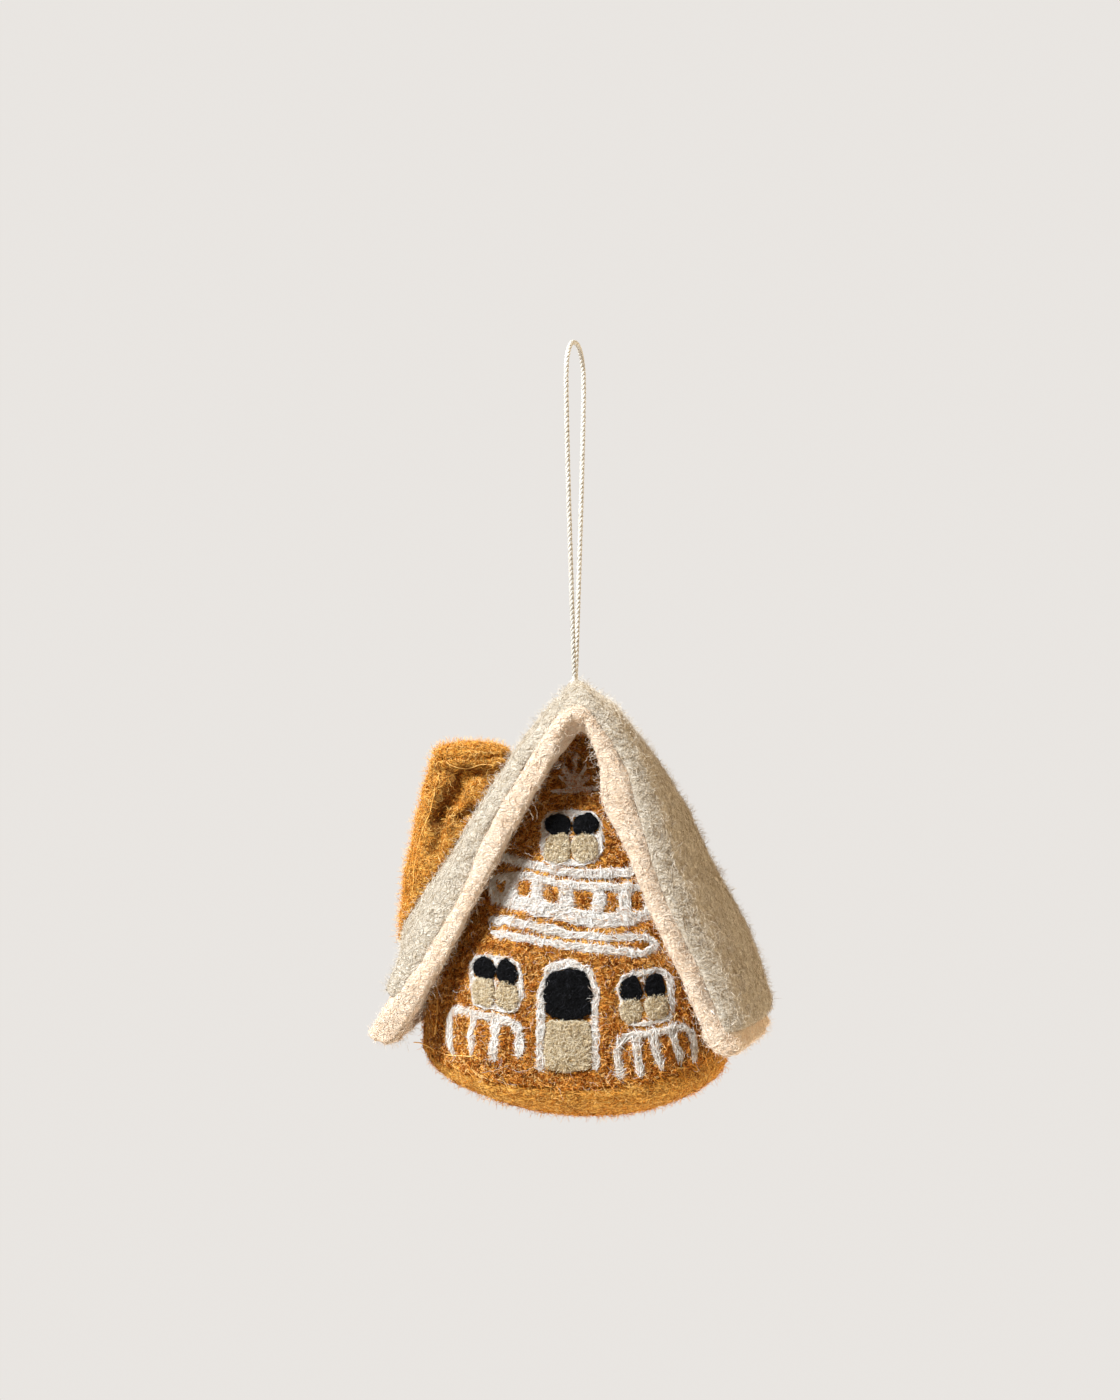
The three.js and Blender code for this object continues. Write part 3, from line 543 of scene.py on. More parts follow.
def feltFrom(name, node, seed, grain, soften, swell, lumps, drift=()):
    piece = newPiece(name, copyOf(name, node))
    remesh = piece.modifiers.new("felted together", "REMESH")
    remesh.mode = "VOXEL"
    remesh.voxel_size = grain * mm
    softer = piece.modifiers.new("softened", "SMOOTH")
    softer.factor = 0.5
    softer.iterations = soften
    settle(piece)
    points, normals = readPoints(piece.data), readNormals(piece.data)
    height = np.full(len(points), swell)
    for k, (size, most) in enumerate(lumps):
        height += most * noiseAt(points, size, seed + k)
    moved = points + normals * height[:, None] * mm
    for k, (size, most) in enumerate(drift):
        moved += driftAt(points, size, seed + 20 + k) * most * mm
    movePoints(piece, moved)
    return piece


# Roof

roofSet = {
    "cover": {"grain": 0.75, "soften": 3, "swell": 0.15, "lumps": ((17, 0.4), (5, 0.25), (1.9, 0.1))},
    "lining": {"grain": 0.7, "soften": 4, "swell": 0.15, "lumps": ((9, 0.35), (3.6, 0.25), (1.7, 0.1))},
    "drift": ((8, 0.3),),
    "drop": 83,  # mm from the ridge to the eaves
    "coverHalf": 21,  # mm, half the depth at the ridge
    "liningHalf": 22,
    "tuft": {"height": 1.2, "reach": 4.5, "from": -3},  # felt drawn up round the string
    # the cover's cut edge swells inward, so that it sits on the rolled edge of the lining
    "edge": {"from": 7, "full": 3, "most": 0.7, "left": 0.0, "right": 0.55},
    # the rolled edge is full, so that it presses into the cover's edge
    # on the left its front is flatter toward its inner side
    "roll": {"from": 7, "full": 4, "swell": 0.2, "left": 0.35, "right": -0.3, "square": 0.5},
    # how far the left trim reaches out over the cover's edge, by mm below the ridge
    "leftReach": ((8, 0.0), (13, 1.0), (18, 1.5), (27, 0.8), (37, 0.9), (43, 0.0)),
    # how far each side of the cover stops short of the eave, and the lining rolls up over its end
    "ends": {
        "left": {"from": -58, "keep": 0.66, "slope": 0.6, "puffFrom": -58, "puffFull": -75, "puff": 1.9},
        "right": {"from": -72, "keep": 0.7, "slope": 0.35, "puffFrom": -72, "puffFull": -80, "puff": 1.7},
    },
    # how the lining's ends are drawn up at the eaves
    "eaves": {
        "left": {"from": -77, "keep": 0.6, "slope": 0.55},
        "right": {"from": -79, "keep": 0.55, "slope": -0.3},
    },
    # the rolled edge is thin over the ridge and rounded there
    "apex": {"top": -7.2, "deep": 6.4, "wide": 5.0, "rise": 2.4, "thin": 2.9},
    # the right trim is fuller near its top, toward the gable's middle
    "belly": {"x": 10.5, "out": 24, "down": 26, "across": 9, "deep": 7, "long": 10, "most": 3.2},
    # where the left trim meets the cover, across from the string
    "trimEdge": {"x": -8.0, "down": 10, "slope": 0.545},
    # the left trim is narrower halfway down, where the cover laps over it
    "waist": {"down": 46, "long": 8, "most": 1.5, "wide": 5.6},
    "coverFlat": (0.188, 0.054),
    "liningFlat": (0.184, 0.058),
}


def ramp(values, start, end):  # 0 at start, 1 at end, smooth between
    share = np.clip((values - start) / (end - start), 0, 1)
    return share * share * (3 - 2 * share)


def sharpen(values, gain):  # a steeper share, from 0 to 1
    return np.clip(values * gain, 0, 1)


def slopeOut(points):  # the way each roof side faces
    side = np.clip(points[:, 0] / 4, -1, 1)
    return unit(np.stack([0.85 * side, 0 * side, 0.5 + 0.5 * (1 - np.abs(side))], axis=1))


def facingOut(points, normals):
    return (normals * slopeOut(points)).sum(axis=1)


def moveOut(points, far):
    points += slopeOut(points) * far[:, None]


def nearGable(points, node, half, look):  # 1 along the cut edges at the front and the back
    high, (_, y, z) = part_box(node)[1] / mm, points.T
    half = half - (high.y - half) * z / roofSet["drop"]
    return ramp(np.abs(y), half - look["from"], half - look["full"])


def pushAhead(points, normals, near, look):  # moves the two sides of a cut edge forward or back
    x, y, _ = points.T
    ahead = np.where(x < 0, look["left"], look["right"]) * ramp(np.abs(x), 1, 6)
    y += np.sign(y) * near * ahead * sharpen(np.abs(normals[:, 1]), 1.4)


def leftReach(points):  # over the front left edge only
    x, y, z = points.T
    return np.interp(-z, *zip(*roofSet["leftReach"])) * (x < 0) * (y < 0)


def drawInWaist(points, near, side):  # side is 1 for the cover and -1 for the lining
    waist, edge = roofSet["waist"], roofSet["trimEdge"]
    x, y, z = points.T
    fall = np.exp(-(((-z - waist["down"]) / waist["long"]) ** 2)) * (y < 0)
    meets = edge["x"] - (-z - edge["down"]) * edge["slope"]
    meets = 1 - np.clip(side * (meets - x) / waist["wide"], 0, 1)
    x += fall * near * meets * waist["most"] * (x < 0)


def drawUp(points, ends):  # shortens the two sides of the roof at the eaves
    x, _, z = points.T
    for name, side in (("left", -1), ("right", 1)):
        end = ends[name]
        low = (x * side > 0) & (z < end["from"])
        risen = np.where(low, (end["from"] - z) * (1 - end["keep"]), 0)
        z += risen
        x -= side * end["slope"] * risen


def shapeCover(points, normals):
    tuft, edge, z = roofSet["tuft"], roofSet["edge"], points[:, 2]
    away = np.linalg.norm(points[:, :2], axis=1)
    z += np.exp(-((away / tuft["reach"]) ** 2)) * (z > tuft["from"]) * tuft["height"]
    near = nearGable(points, "roof_cover", roofSet["coverHalf"], edge)
    inward = np.clip(1 - 1.6 * np.clip(facingOut(points, normals), 0, 1), 0, 1)
    points -= slopeOut(points) * (near * inward * edge["most"])[:, None]
    pushAhead(points, normals, near, edge)
    moveOut(points, near * inward * leftReach(points))
    drawInWaist(points, near, 1)
    drawUp(points, roofSet["ends"])


def shapeLining(points, normals):
    roll, apex, belly = roofSet["roll"], roofSet["apex"], roofSet["belly"]
    x, y, z = points.T
    edge = nearGable(points, "roof_lining", roofSet["liningHalf"], roll)
    points += normals * (edge * roll["swell"])[:, None]
    pushAhead(points, normals, edge, roll)
    facing = facingOut(points, normals)
    corner = sharpen(-facing, 1.5) * sharpen(-normals[:, 1], 1.5) * (x < 0)
    y -= edge * corner * roll["square"]
    moveOut(points, edge * sharpen(facing, 1.6) * leftReach(points))
    deep = np.clip((apex["top"] - z) / apex["deep"], 0, 1)
    z += np.exp(-((x / apex["wide"]) ** 2)) * edge * (apex["rise"] + apex["thin"] * deep)
    centre = np.array([belly["x"], -belly["out"], -belly["down"]])
    far = np.abs(points - centre) / np.array([belly["across"], belly["deep"], belly["long"]])
    x -= np.exp(-(far**2).sum(axis=1)) * sharpen(-normals[:, 0], 1.5) * belly["most"]
    drawInWaist(points, edge, -1)
    facing = sharpen(facingOut(points, normals), 1.5)
    for name, side in (("left", -1), ("right", 1)):
        end = roofSet["ends"][name]
        low = ramp(-z, -end["puffFrom"], -end["puffFull"]) * (x * side > 0)
        moveOut(points, low * facing * end["puff"])
    drawUp(points, roofSet["eaves"])


def makeLayer(key, shape, colour):
    node = f"roof_{key}"
    piece = feltFrom(f"{node}_felt", node, 4, drift=roofSet["drift"], **roofSet[key])
    points, normals = readPoints(piece.data) / mm, readNormals(piece.data)
    points[:, 2] -= ridge.z / mm
    shape(points, normals)
    points[:, 2] += ridge.z / mm
    movePoints(piece, points * mm)
    return dressFelt(piece, colour, node)


roofCover = makeLayer("cover", shapeCover, "sage")
roofLining = makeLayer("lining", shapeLining, "peach")
print("roof made")


# Walls, base and filling

bodySet = {
    "wall": {"grain": 0.7, "soften": 3, "swell": 0.35, "lumps": ((14, 0.4), (4, 0.3), (1.6, 0.14))},
    "base": {"grain": 0.75, "soften": 4, "swell": 0.2, "lumps": ((13, 0.5), (4.5, 0.4), (1.7, 0.15))},
    "filling": {"grain": 2.0, "soften": 2, "swell": -0.3, "lumps": ((6, 0.4),)},
    "gableRise": {"from": -19, "full": -13.5, "most": 4.5},  # the gable's felt reaches up under the ridge
    "gableLean": {"from": -34, "full": -12, "share": 0.17},  # the gables lean in under the ridge
    "baseRise": 0.7,
    "wallFill": 0.9,
    "baseFill": 0.8,
}
wallNames = ["front_wall", "back_wall", "left_wall", "right_wall"]


def raiseGable(piece):
    points, rise = readPoints(piece.data), bodySet["gableRise"]
    start, end = (ridge.z + rise[key] * mm for key in ("from", "full"))
    points[:, 2] += ramp(points[:, 2], start, end) * rise["most"] * mm
    movePoints(piece, points)


def leanIn(piece):
    points, lean = readPoints(piece.data), bodySet["gableLean"]
    points[:, 1] *= 1 - lean["share"] * ramp((points[:, 2] - ridge.z) / mm, lean["from"], lean["full"])
    movePoints(piece, points)


def makeWall(name, seed):
    wall = feltFrom(f"{name}_felt", name, seed, **bodySet["wall"])
    if name in ("front_wall", "back_wall"):
        raiseGable(wall)
    leanIn(wall)
    dressFelt(wall, "rust", name)
    return wall


def makeFilling(name):
    filling = feltFrom(f"{name}_wool", name, 95, **bodySet["filling"])
    if name == "body_stuffing":
        leanIn(filling)
    dressFelt(filling, "stuffing", name)


walls = [makeWall(name, 40 + 9 * k) for k, name in enumerate(wallNames)]
basePiece = feltFrom("base_felt", "base_pad", 90, **bodySet["base"])
movePoints(basePiece, readPoints(basePiece.data) + np.array([0, 0, bodySet["baseRise"] * mm]))
dressFelt(basePiece, "mustard", "base_pad")
makeFilling("body_stuffing")
makeFilling("chimney_stuffing")
print("walls, base and filling made")


# Chimney, with its creases as lines in mm across and below the ridge

chimneySet = {
    "sleeve": {"grain": 0.6, "soften": 3, "swell": 0.2, "lumps": ((10, 0.5), (3.5, 0.45), (1.5, 0.15))},
    "cap": {"grain": 0.6, "soften": 4, "swell": 0.2, "lumps": ((8, 0.5), (3, 0.4), (1.4, 0.2))},
    "creases": [  # each line with its depth and width in mm
        (((-34, -20.2), (-29, -20.9), (-25.2, -21.1), (-21.7, -20.8), (-16, -21.9)), 2.0, 1.5),
        (((-24.6, -22.6), (-27.3, -26.1), (-29.6, -28.8), (-30.8, -30.9)), 3.6, 1.9),
        (((-30.8, -30.9), (-30.5, -35.3), (-31.7, -39.1)), 1.6, 1.6),
        (((-25.5, -31.2), (-22.6, -29.6), (-20.2, -29.2)), 2.4, 1.2),
        (((-27.4, -34.2), (-25.4, -38.2)), 1.2, 1.2),
        (((-23.4, -25.4), (-20.2, -27.4), (-24.5, -33)), -1.6, 2.2),
        (((-27.5, -36.5), (-31, -41)), -1.0, 2.2),
    ],
    # how the folds are darkened with painted shade, partly the felt's own darker tone: wider than they are
    # pressed, and uneven
    "fold": {"wider": 1.7, "full": 3.4, "least": 0.1, "uneven": 0.5, "size": 2.2},
    "fill": 0.7,
}


def fromRidge(points):  # across and below the ridge, in mm
    return (points[:, [0, 2]] - np.array([0, ridge.z])) / mm


def distanceToLine(places, line):
    nearest = np.full(len(places), np.inf)
    for start, end in zip(line, line[1:]):
        start, end = np.array(start), np.array(end)
        run = end - start
        share = np.clip(((places - start) @ run) / (run @ run), 0, 1)
        nearest = np.minimum(nearest, np.linalg.norm(places - start - share[:, None] * run, axis=1))
    return nearest


def pressCreases(piece):
    points, normals = readPoints(piece.data), readNormals(piece.data)
    places, look = fromRidge(points), chimneySet["fold"]
    facing = sharpen(-normals[:, 1], 1.6)
    depth, fold = np.zeros(len(points)), np.zeros(len(points))
    for line, deep, wide in chimneySet["creases"]:
        away = distanceToLine(places, line) / wide
        depth += deep * np.exp(-(away**2))
        fold += max(deep, 0) * np.exp(-((away / look["wider"]) ** 2))
    movePoints(piece, points - normals * (depth * facing)[:, None] * mm)
    # the fold attribute paints shade into the front of the folds, partly the felt's own darker tone
    fold = fold * facing / look["full"]
    uneven = look["uneven"] * noiseAt(points, look["size"], 15) * (fold > look["least"])
    fold = np.clip(fold + uneven, 0, 1)
    piece.data.attributes.new("fold", "FLOAT", "POINT").data.foreach_set("value", fold.astype(np.float32))


chimneySleeve = feltFrom("chimney_sleeve_felt", "chimney_sleeve", 61, **chimneySet["sleeve"])
pressCreases(chimneySleeve)
chimneyCap = feltFrom("chimney_cap_felt", "chimney_cap", 66, **chimneySet["cap"])
for piece, node in ((chimneySleeve, "chimney_sleeve"), (chimneyCap, "chimney_cap")):
    dressFelt(piece, "mustard", node)
print("chimney made")


# Needled work on the front wall, pressed into the felt

needledSet = {
    "felt": {
        "grain": 0.24, "soften": 3, "swell": 0.05,
        "lumps": ((2.4, 0.2), (0.9, 0.12)), "drift": ((2.6, 0.35), (1.0, 0.2)),
    },
    "thinner": {"gable_fan": -0.16},
    "flatten": 0.46,  # share of its height that the needled wool keeps
    "sink": {"white": 0.28, "black": -0.2, "beige": -0.05},  # mm into the wall
    "paneGrow": {"black": 1.7, "beige": 1.58},  # panes fill their frames
    "doorGrow": (1.16, 1.07),
    "rounder": {"black": 0.8, "beige": 0.4},
    "bar": 0.2,  # mm, half the gap between two panes
    "barShare": {"from": 0.62, "over": 0.12},  # where the strands between the panes end
    "frameLine": {"black": 1.3, "beige": 1.0},
    "barSink": 0.3,  # mm, for the thin strands between the panes
    "shift": {
        "right_window_frame": (-0.7, -0.3),
        "right_window_dark": (-1.6, -0.8),
        "right_window_beige": (-1.4, -0.3),
    },
}
frontTree = surfaceOf(walls[0])


def heightOver(tree, place):  # the nearest spot, the way it faces, and the height over it
    spot, normal, _, _ = tree.find_nearest(Vector(place))
    return spot, normal, (Vector(place) - spot).dot(normal)


def pressInto(piece, tree, flatten, sinks):
    points = readPoints(piece.data)
    for k, point in enumerate(points):
        spot, normal, high = heightOver(tree, point)
        points[k] = spot + normal * (high * flatten - sinks[k] * mm)
    movePoints(piece, points)


def middleAndHalf(node):
    low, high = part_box(node)
    middle, half = (Vector(low) + Vector(high)) / 2, (Vector(high) - Vector(low)) / 2
    return np.array(middle)[[0, 2]], np.array(half)[[0, 2]]


def growPane(piece, node, colour):
    points = readPoints(piece.data)
    middle, half = middleAndHalf(node)
    share = (points[:, [0, 2]] - middle) / half
    if node.startswith("door"):
        half = half * np.array(needledSet["doorGrow"])
    else:
        window, reach = middleAndHalf(f"{node.split('_')[0]}_window_frame")
        inner, outer = needledSet["bar"] * mm, reach[0] - needledSet["frameLine"][colour] * mm
        side = math.copysign(1, middle[0] - window[0])
        middle = np.array([window[0] + side * (inner + outer) / 2, middle[1]])
        half = np.array([(outer - inner) / 2, half[1] * needledSet["paneGrow"][colour]])
        rounder = needledSet["rounder"][colour]
        disc = np.sqrt(np.clip(1 - share[:, ::-1] ** 2 / 2, 0.3, 1))
        share = share * (1 - rounder + rounder * disc)
    points[:, [0, 2]] = middle + share * half
    for k, point in enumerate(points):
        spot, normal, high = heightOver(frontTree, point)
        points[k] = spot + normal * max(high, 0)
    movePoints(piece, points)


def barMask(piece, node):  # 1 on the strands between the panes, 0 on the frame round them
    middle, half = middleAndHalf(node)
    away = np.abs(readPoints(piece.data)[:, [0, 2]] - middle) / half
    bars = needledSet["barShare"]
    return (1 - np.clip((away - bars["from"]) / bars["over"], 0, 1)).min(axis=1)


whiteNodes = [
    "gable_fan", "top_window_frame", "left_window_frame", "right_window_frame", "door_frame",
    "balcony_rail", "balcony_railing", "lower_band", "left_fence", "right_fence",
]
paneNodes = {"black": ["door_glass"], "beige": ["door_panel"]}
for window in ("top", "left", "right"):
    for hand in ("left", "right"):
        paneNodes["black"].append(f"{window}_window_dark_{hand}")
        paneNodes["beige"].append(f"{window}_window_beige_{hand}")


def needled(node, colour, seed):
    look = dict(needledSet["felt"])
    look["swell"] = needledSet["thinner"].get(node, look["swell"])
    piece = feltFrom(f"{node}_wool", node, seed, **look)
    sinks = np.full(len(piece.data.vertices), needledSet["sink"][colour])
    if colour != "white":
        growPane(piece, node, colour)
    if node.endswith("window_frame"):
        sinks += barMask(piece, node) * needledSet["barSink"]
    for start, (across, up) in needledSet["shift"].items():
        if node.startswith(start):
            movePoints(piece, readPoints(piece.data) + np.array([across, 0, up]) * mm)
    pressInto(piece, frontTree, needledSet["flatten"], sinks)
    return dressFelt(piece, colour, node)


whitePieces = [needled(node, "white", 120 + 3 * k) for k, node in enumerate(whiteNodes)]
panePieces = {
    colour: [needled(node, colour, 200 + 3 * k) for k, node in enumerate(nodes)]
    for colour, nodes in paneNodes.items()
}
print("needled work made")


# Stitches

stitchSet = {
    "corner": {"every": 3.4, "reach": 1.1, "slant": 0.8, "radius": 0.11, "steps": 24, "closed": False},
    "foot": {"every": 1.5, "reach": 1.3, "slant": 2.2, "radius": 0.08, "steps": 88, "closed": True},
    "step": 0.5,  # mm along the seam
    "vary": {"reach": (0.75, 1.15), "slant": (0.4, 1.3), "shade": (0.4, 1)},
    "sides": 6,
}


def seamLine(node, look):  # a smooth line through the middles of short lengths of the seam's solid
    points = readPoints(copyOf(f"{node} line", node))
    along = np.arctan2(points[:, 1], points[:, 0]) if look["closed"] else points[:, 2]
    edges = np.linspace(along.min(), along.max() + 1e-9, look["steps"] + 1)
    lengths = [points[(along >= a) & (along < b)] for a, b in zip(edges, edges[1:])]
    line = [length.mean(axis=0) for length in lengths if len(length)]
    if look["closed"]:
        line.append(line[0])
    return smoothLine(line, stitchSet["step"] * mm)[0]


def stitch(tree, centre, run, look, rng):  # one thread laid slantwise over the seam
    vary = stitchSet["vary"]
    across = unit(np.cross(run, np.array(tree.find_nearest(Vector(centre))[1])))
    reach = look["reach"] * rng.uniform(*vary["reach"]) * mm
    slant = look["slant"] * rng.uniform(*vary["slant"]) * mm
    path = []
    for share in np.linspace(-1, 1, 9):
        spot, facing, _, _ = tree.find_nearest(Vector(centre + share * (across * reach + run * slant)))
        high = look["radius"] * (1.3 - 2.2 * share**4) * mm
        path.append(np.array(spot) + np.array(facing) * high)
    return path


def whipStitches(name, node, key, seed):
    look, rng, paths = stitchSet[key], np.random.default_rng(seed), []
    line = seamLine(node, look)
    along = unit(np.gradient(line, axis=0))
    every = round(look["every"] / stitchSet["step"])
    for k in range(every // 2, len(line) - 1, every):
        paths.append(stitch(bodyTree, line[k], along[k], look, rng))
    shades = rng.uniform(*stitchSet["vary"]["shade"], len(paths))
    finish = fibreFinish["mustard"], "mustard_felt"
    radius = look["radius"] * mm
    strandPiece(name, np.array(paths), radius, stitchSet["sides"], *finish, [node], shades=shades)


bodyTree = surfaceOf(*walls, basePiece)
for k, corner in enumerate(("front_left", "front_right", "back_left", "back_right")):
    whipStitches(f"{corner}_stitches", f"{corner}_seam", "corner", 300 + k)
whipStitches("foot_stitches", "base_seam", "foot", 310)

# threads and hand stitches, as lines in mm across and below the ridge
threadSet = {
    "step": 0.4,
    "lift": 0.8,  # share of the radius that a thread stands over the felt
    "inward": 8,  # mm, where a thread that misses the felt looks for it
    "chimney": {
        "lines": (
            (
                (-31.7, -18.5), (-31.2, -21.1), (-32.0, -24.7), (-32.9, -29.1), (-34.0, -32.0),
                (-35.2, -35.3), (-36.2, -39.4), (-36.8, -43.2), (-36.8, -45.6), (-37.2, -48.6),
            ),
            (
                (-32.7, -18.4), (-31.8, -17.5), (-30.2, -17.5), (-28.6, -18.8), (-26.7, -19.5),
                (-24.4, -19.7), (-21.2, -18.8), (-18.2, -19.0),
            ),
        ),
        "radius": 0.11, "lift": 0.1, "shades": (0.8, 0.9),
    },
    "loose": {
        "corner_thread": {
            "line": ((-29.7, -66.1), (-30.1, -70.0), (-29.7, -74.4), (-30.4, -79.6)),
            "radius": 0.22, "shade": 0.85,
        },
        # a free end that stands off, with its last point on the felt
        "loose_thread": {
            "line": ((-35.0, -21, -81.0), (-33.4, -20.6, -81.2), (-31.6, -20.2, -82.0), (-30.0, -20, -83.2)),
            "radius": 0.12, "shade": 0.8,
        },
        "foot_thread": {
            "line": ((-30.1, -82.8), (-27.3, -83.4), (-24.0, -83.2), (-20.7, -83.2)),
            "radius": 0.14, "shade": 0.95,
        },
    },
    "trim": (((30.1, -67.7), (31.3, -68.9)), ((31.5, -72.6), (32.7, -73.8)), ((28.3, -73.9), (29.5, -75.1))),
    "trimRadius": 0.14,
    "trimShade": 0.9,
}


def layThread(tree, line, inFront, lift):
    places = [(x * mm, inFront * mm, z * mm + ridge.z) for x, z in line]
    laid = []
    for place in smoothLine(places, threadSet["step"] * mm)[0]:
        hit, normal, _, _ = tree.ray_cast(Vector(place), Vector((0, 1, 0)))
        if hit is None:
            hit, normal, _, _ = tree.find_nearest(Vector(place) + Vector((0, threadSet["inward"] * mm, 0)))
        laid.append(np.array(hit) + np.array(normal) * lift * mm)
    laid = np.array(laid)
    laid[1:-1] = (laid[:-2] + 2 * laid[1:-1] + laid[2:]) / 4
    return laid


def makeChimneyThread():
    tree, look = surfaceOf(chimneySleeve, chimneyCap), threadSet["chimney"]
    lines = [layThread(tree, line, -30, look["lift"]) for line in look["lines"]]
    even = np.linspace(0, 1, max(len(line) for line in lines))
    paths = [
        np.stack([np.interp(even, np.linspace(0, 1, len(line)), line[:, k]) for k in range(3)], 1)
        for line in lines
    ]
    shades = np.array(look["shades"])
    finish = fibreFinish["mustard"], "cotton_string"
    radius = look["radius"] * mm
    strandPiece("chimney_thread", np.array(paths), radius, 6, *finish, ["chimney_seam"], shades=shades)


def looseThread(name, line, tree, radius, colour, slotName, shade):
    if len(line[0]) == 3:
        path = smoothLine(np.array(line) * mm + np.array([0, 0, ridge.z]), threadSet["step"] * mm)[0]
        path = path + np.array(tree.find_nearest(Vector(path[-1]))[0]) - path[-1]
    else:
        path = layThread(tree, line, -50, radius * threadSet["lift"])
    strandPiece(name, path[None], radius * mm, 6, fibreFinish[colour], slotName, shades=shade)


makeChimneyThread()
for name, look in threadSet["loose"].items():
    looseThread(name, look["line"], bodyTree, look["radius"], "mustard", "mustard_felt", look["shade"])
for k, line in enumerate(threadSet["trim"]):
    look = threadSet["trimRadius"], "white", "cotton_string", threadSet["trimShade"]
    looseThread(f"trim_stitch_{k}", line, surfaceOf(roofLining), *look)
print("stitches made")


# Fibres

def spread(pieces, count, rng, weigh):  # random places on the pieces, with the way each one faces
    corners, normals = [], []
    for piece in pieces:
        triangles = readTriangles(piece.data)
        corners.append(readPoints(piece.data)[triangles])
        normals.append(readNormals(piece.data)[triangles])
    corners, normals = np.concatenate(corners), np.concatenate(normals)
    area = np.linalg.norm(np.cross(corners[:, 1] - corners[:, 0], corners[:, 2] - corners[:, 0]), axis=1)
    if weigh is not None:
        area = area * weigh(corners.mean(axis=1), normals[:, 0])
    picked = rng.choice(len(area), count, p=area / area.sum())
    u, v = rng.random(count), rng.random(count)
    over = u + v > 1
    u[over], v[over] = 1 - u[over], 1 - v[over]
    shares = np.stack([1 - u - v, u, v], axis=1)[:, :, None]
    return (corners[picked] * shares).sum(axis=1), unit((normals[picked] * shares).sum(axis=1))


def tangents(normals, rng):
    side = rng.standard_normal(normals.shape)
    return unit(side - normals * (side * normals).sum(axis=1, keepdims=True))


def strandWays(places, pieces, reach):  # the way the strand of wool runs at each place, level with the wall
    points = np.concatenate([readPoints(piece.data) for piece in pieces])
    tree = KDTree(len(points))
    for k, point in enumerate(points):
        tree.insert(point, k)
    tree.balance()
    ways = np.zeros((len(places), 3))
    for k, place in enumerate(places):
        near = np.array([points[i] for _, i, _ in tree.find_range(place, reach * mm)])[:, [0, 2]]
        _, _, axes = np.linalg.svd(near - near.mean(axis=0), full_matrices=False)
        ways[k, [0, 2]] = axes[0]
    return ways


def walk(heading, ahead, aside, length):  # steps of even length that turn by the heading
    run = np.cos(heading)[..., None] * ahead[:, None] + np.sin(heading)[..., None] * aside[:, None]
    return np.cumsum(run * (length / (heading.shape[1] - 1))[:, None, None], axis=1)


def lyingPaths(tree, places, normals, rng, look, ways):  # fibres that wander over the surface
    steps, count = 6, len(places)
    length = rng.uniform(*look["length"], count) * mm
    ahead = tangents(normals, rng)
    if ways is not None:
        ahead = unit(ways + ahead * look["stray"] * rng.random((count, 1)) ** 2)
    bend = rng.uniform(-1, 1, count) * look["bend"]
    share = np.linspace(-0.5, 0.5, steps)
    heading = bend[:, None] * share + rng.standard_normal((count, steps)) * look.get("wiggle", 0.25)
    run = walk(heading, ahead, np.cross(normals, ahead), length)
    paths = places[:, None] + run - run.mean(axis=1, keepdims=True)
    lift = look["sink"] + rng.random(count)[:, None] ** 2 * look["lift"] * np.sin(np.pi * (share + 0.5))
    raised = rng.random(count) < fibreShared["raised"]  # these lift off at one end
    lift = lift + raised[:, None] * (share + 0.5) ** 2 * look["lift"] * fibreShared["raisedLift"]
    for i in range(count):
        for k in range(steps):
            spot, facing, _, _ = tree.find_nearest(Vector(paths[i, k]))
            paths[i, k] = spot + facing * float(lift[i, k] * mm)
    return paths


def risingPaths(places, normals, rng, look):  # fibres that stand off the surface
    steps, count = look.get("steps", 4), len(places)
    length = rng.uniform(*look["length"], count) * mm
    side = tangents(normals, rng)
    lean = rng.uniform(*look["lean"], count)[:, None]
    ahead = normals * np.cos(lean) + side * np.sin(lean)
    aside = unit(np.cross(ahead, rng.standard_normal((count, 3))))
    curl = rng.uniform(-1, 1, count) * look["curl"]
    run = walk(curl[:, None] * np.linspace(0, 1, steps), ahead, aside, length)
    run = run - run[:, :1]
    wobble = rng.standard_normal((count, steps, 3)) * look.get("wobble", 0.05) * mm
    wobble[:, 0] = 0
    return places[:, None] - normals[:, None] * fibreShared["rooted"] * mm + run + wobble


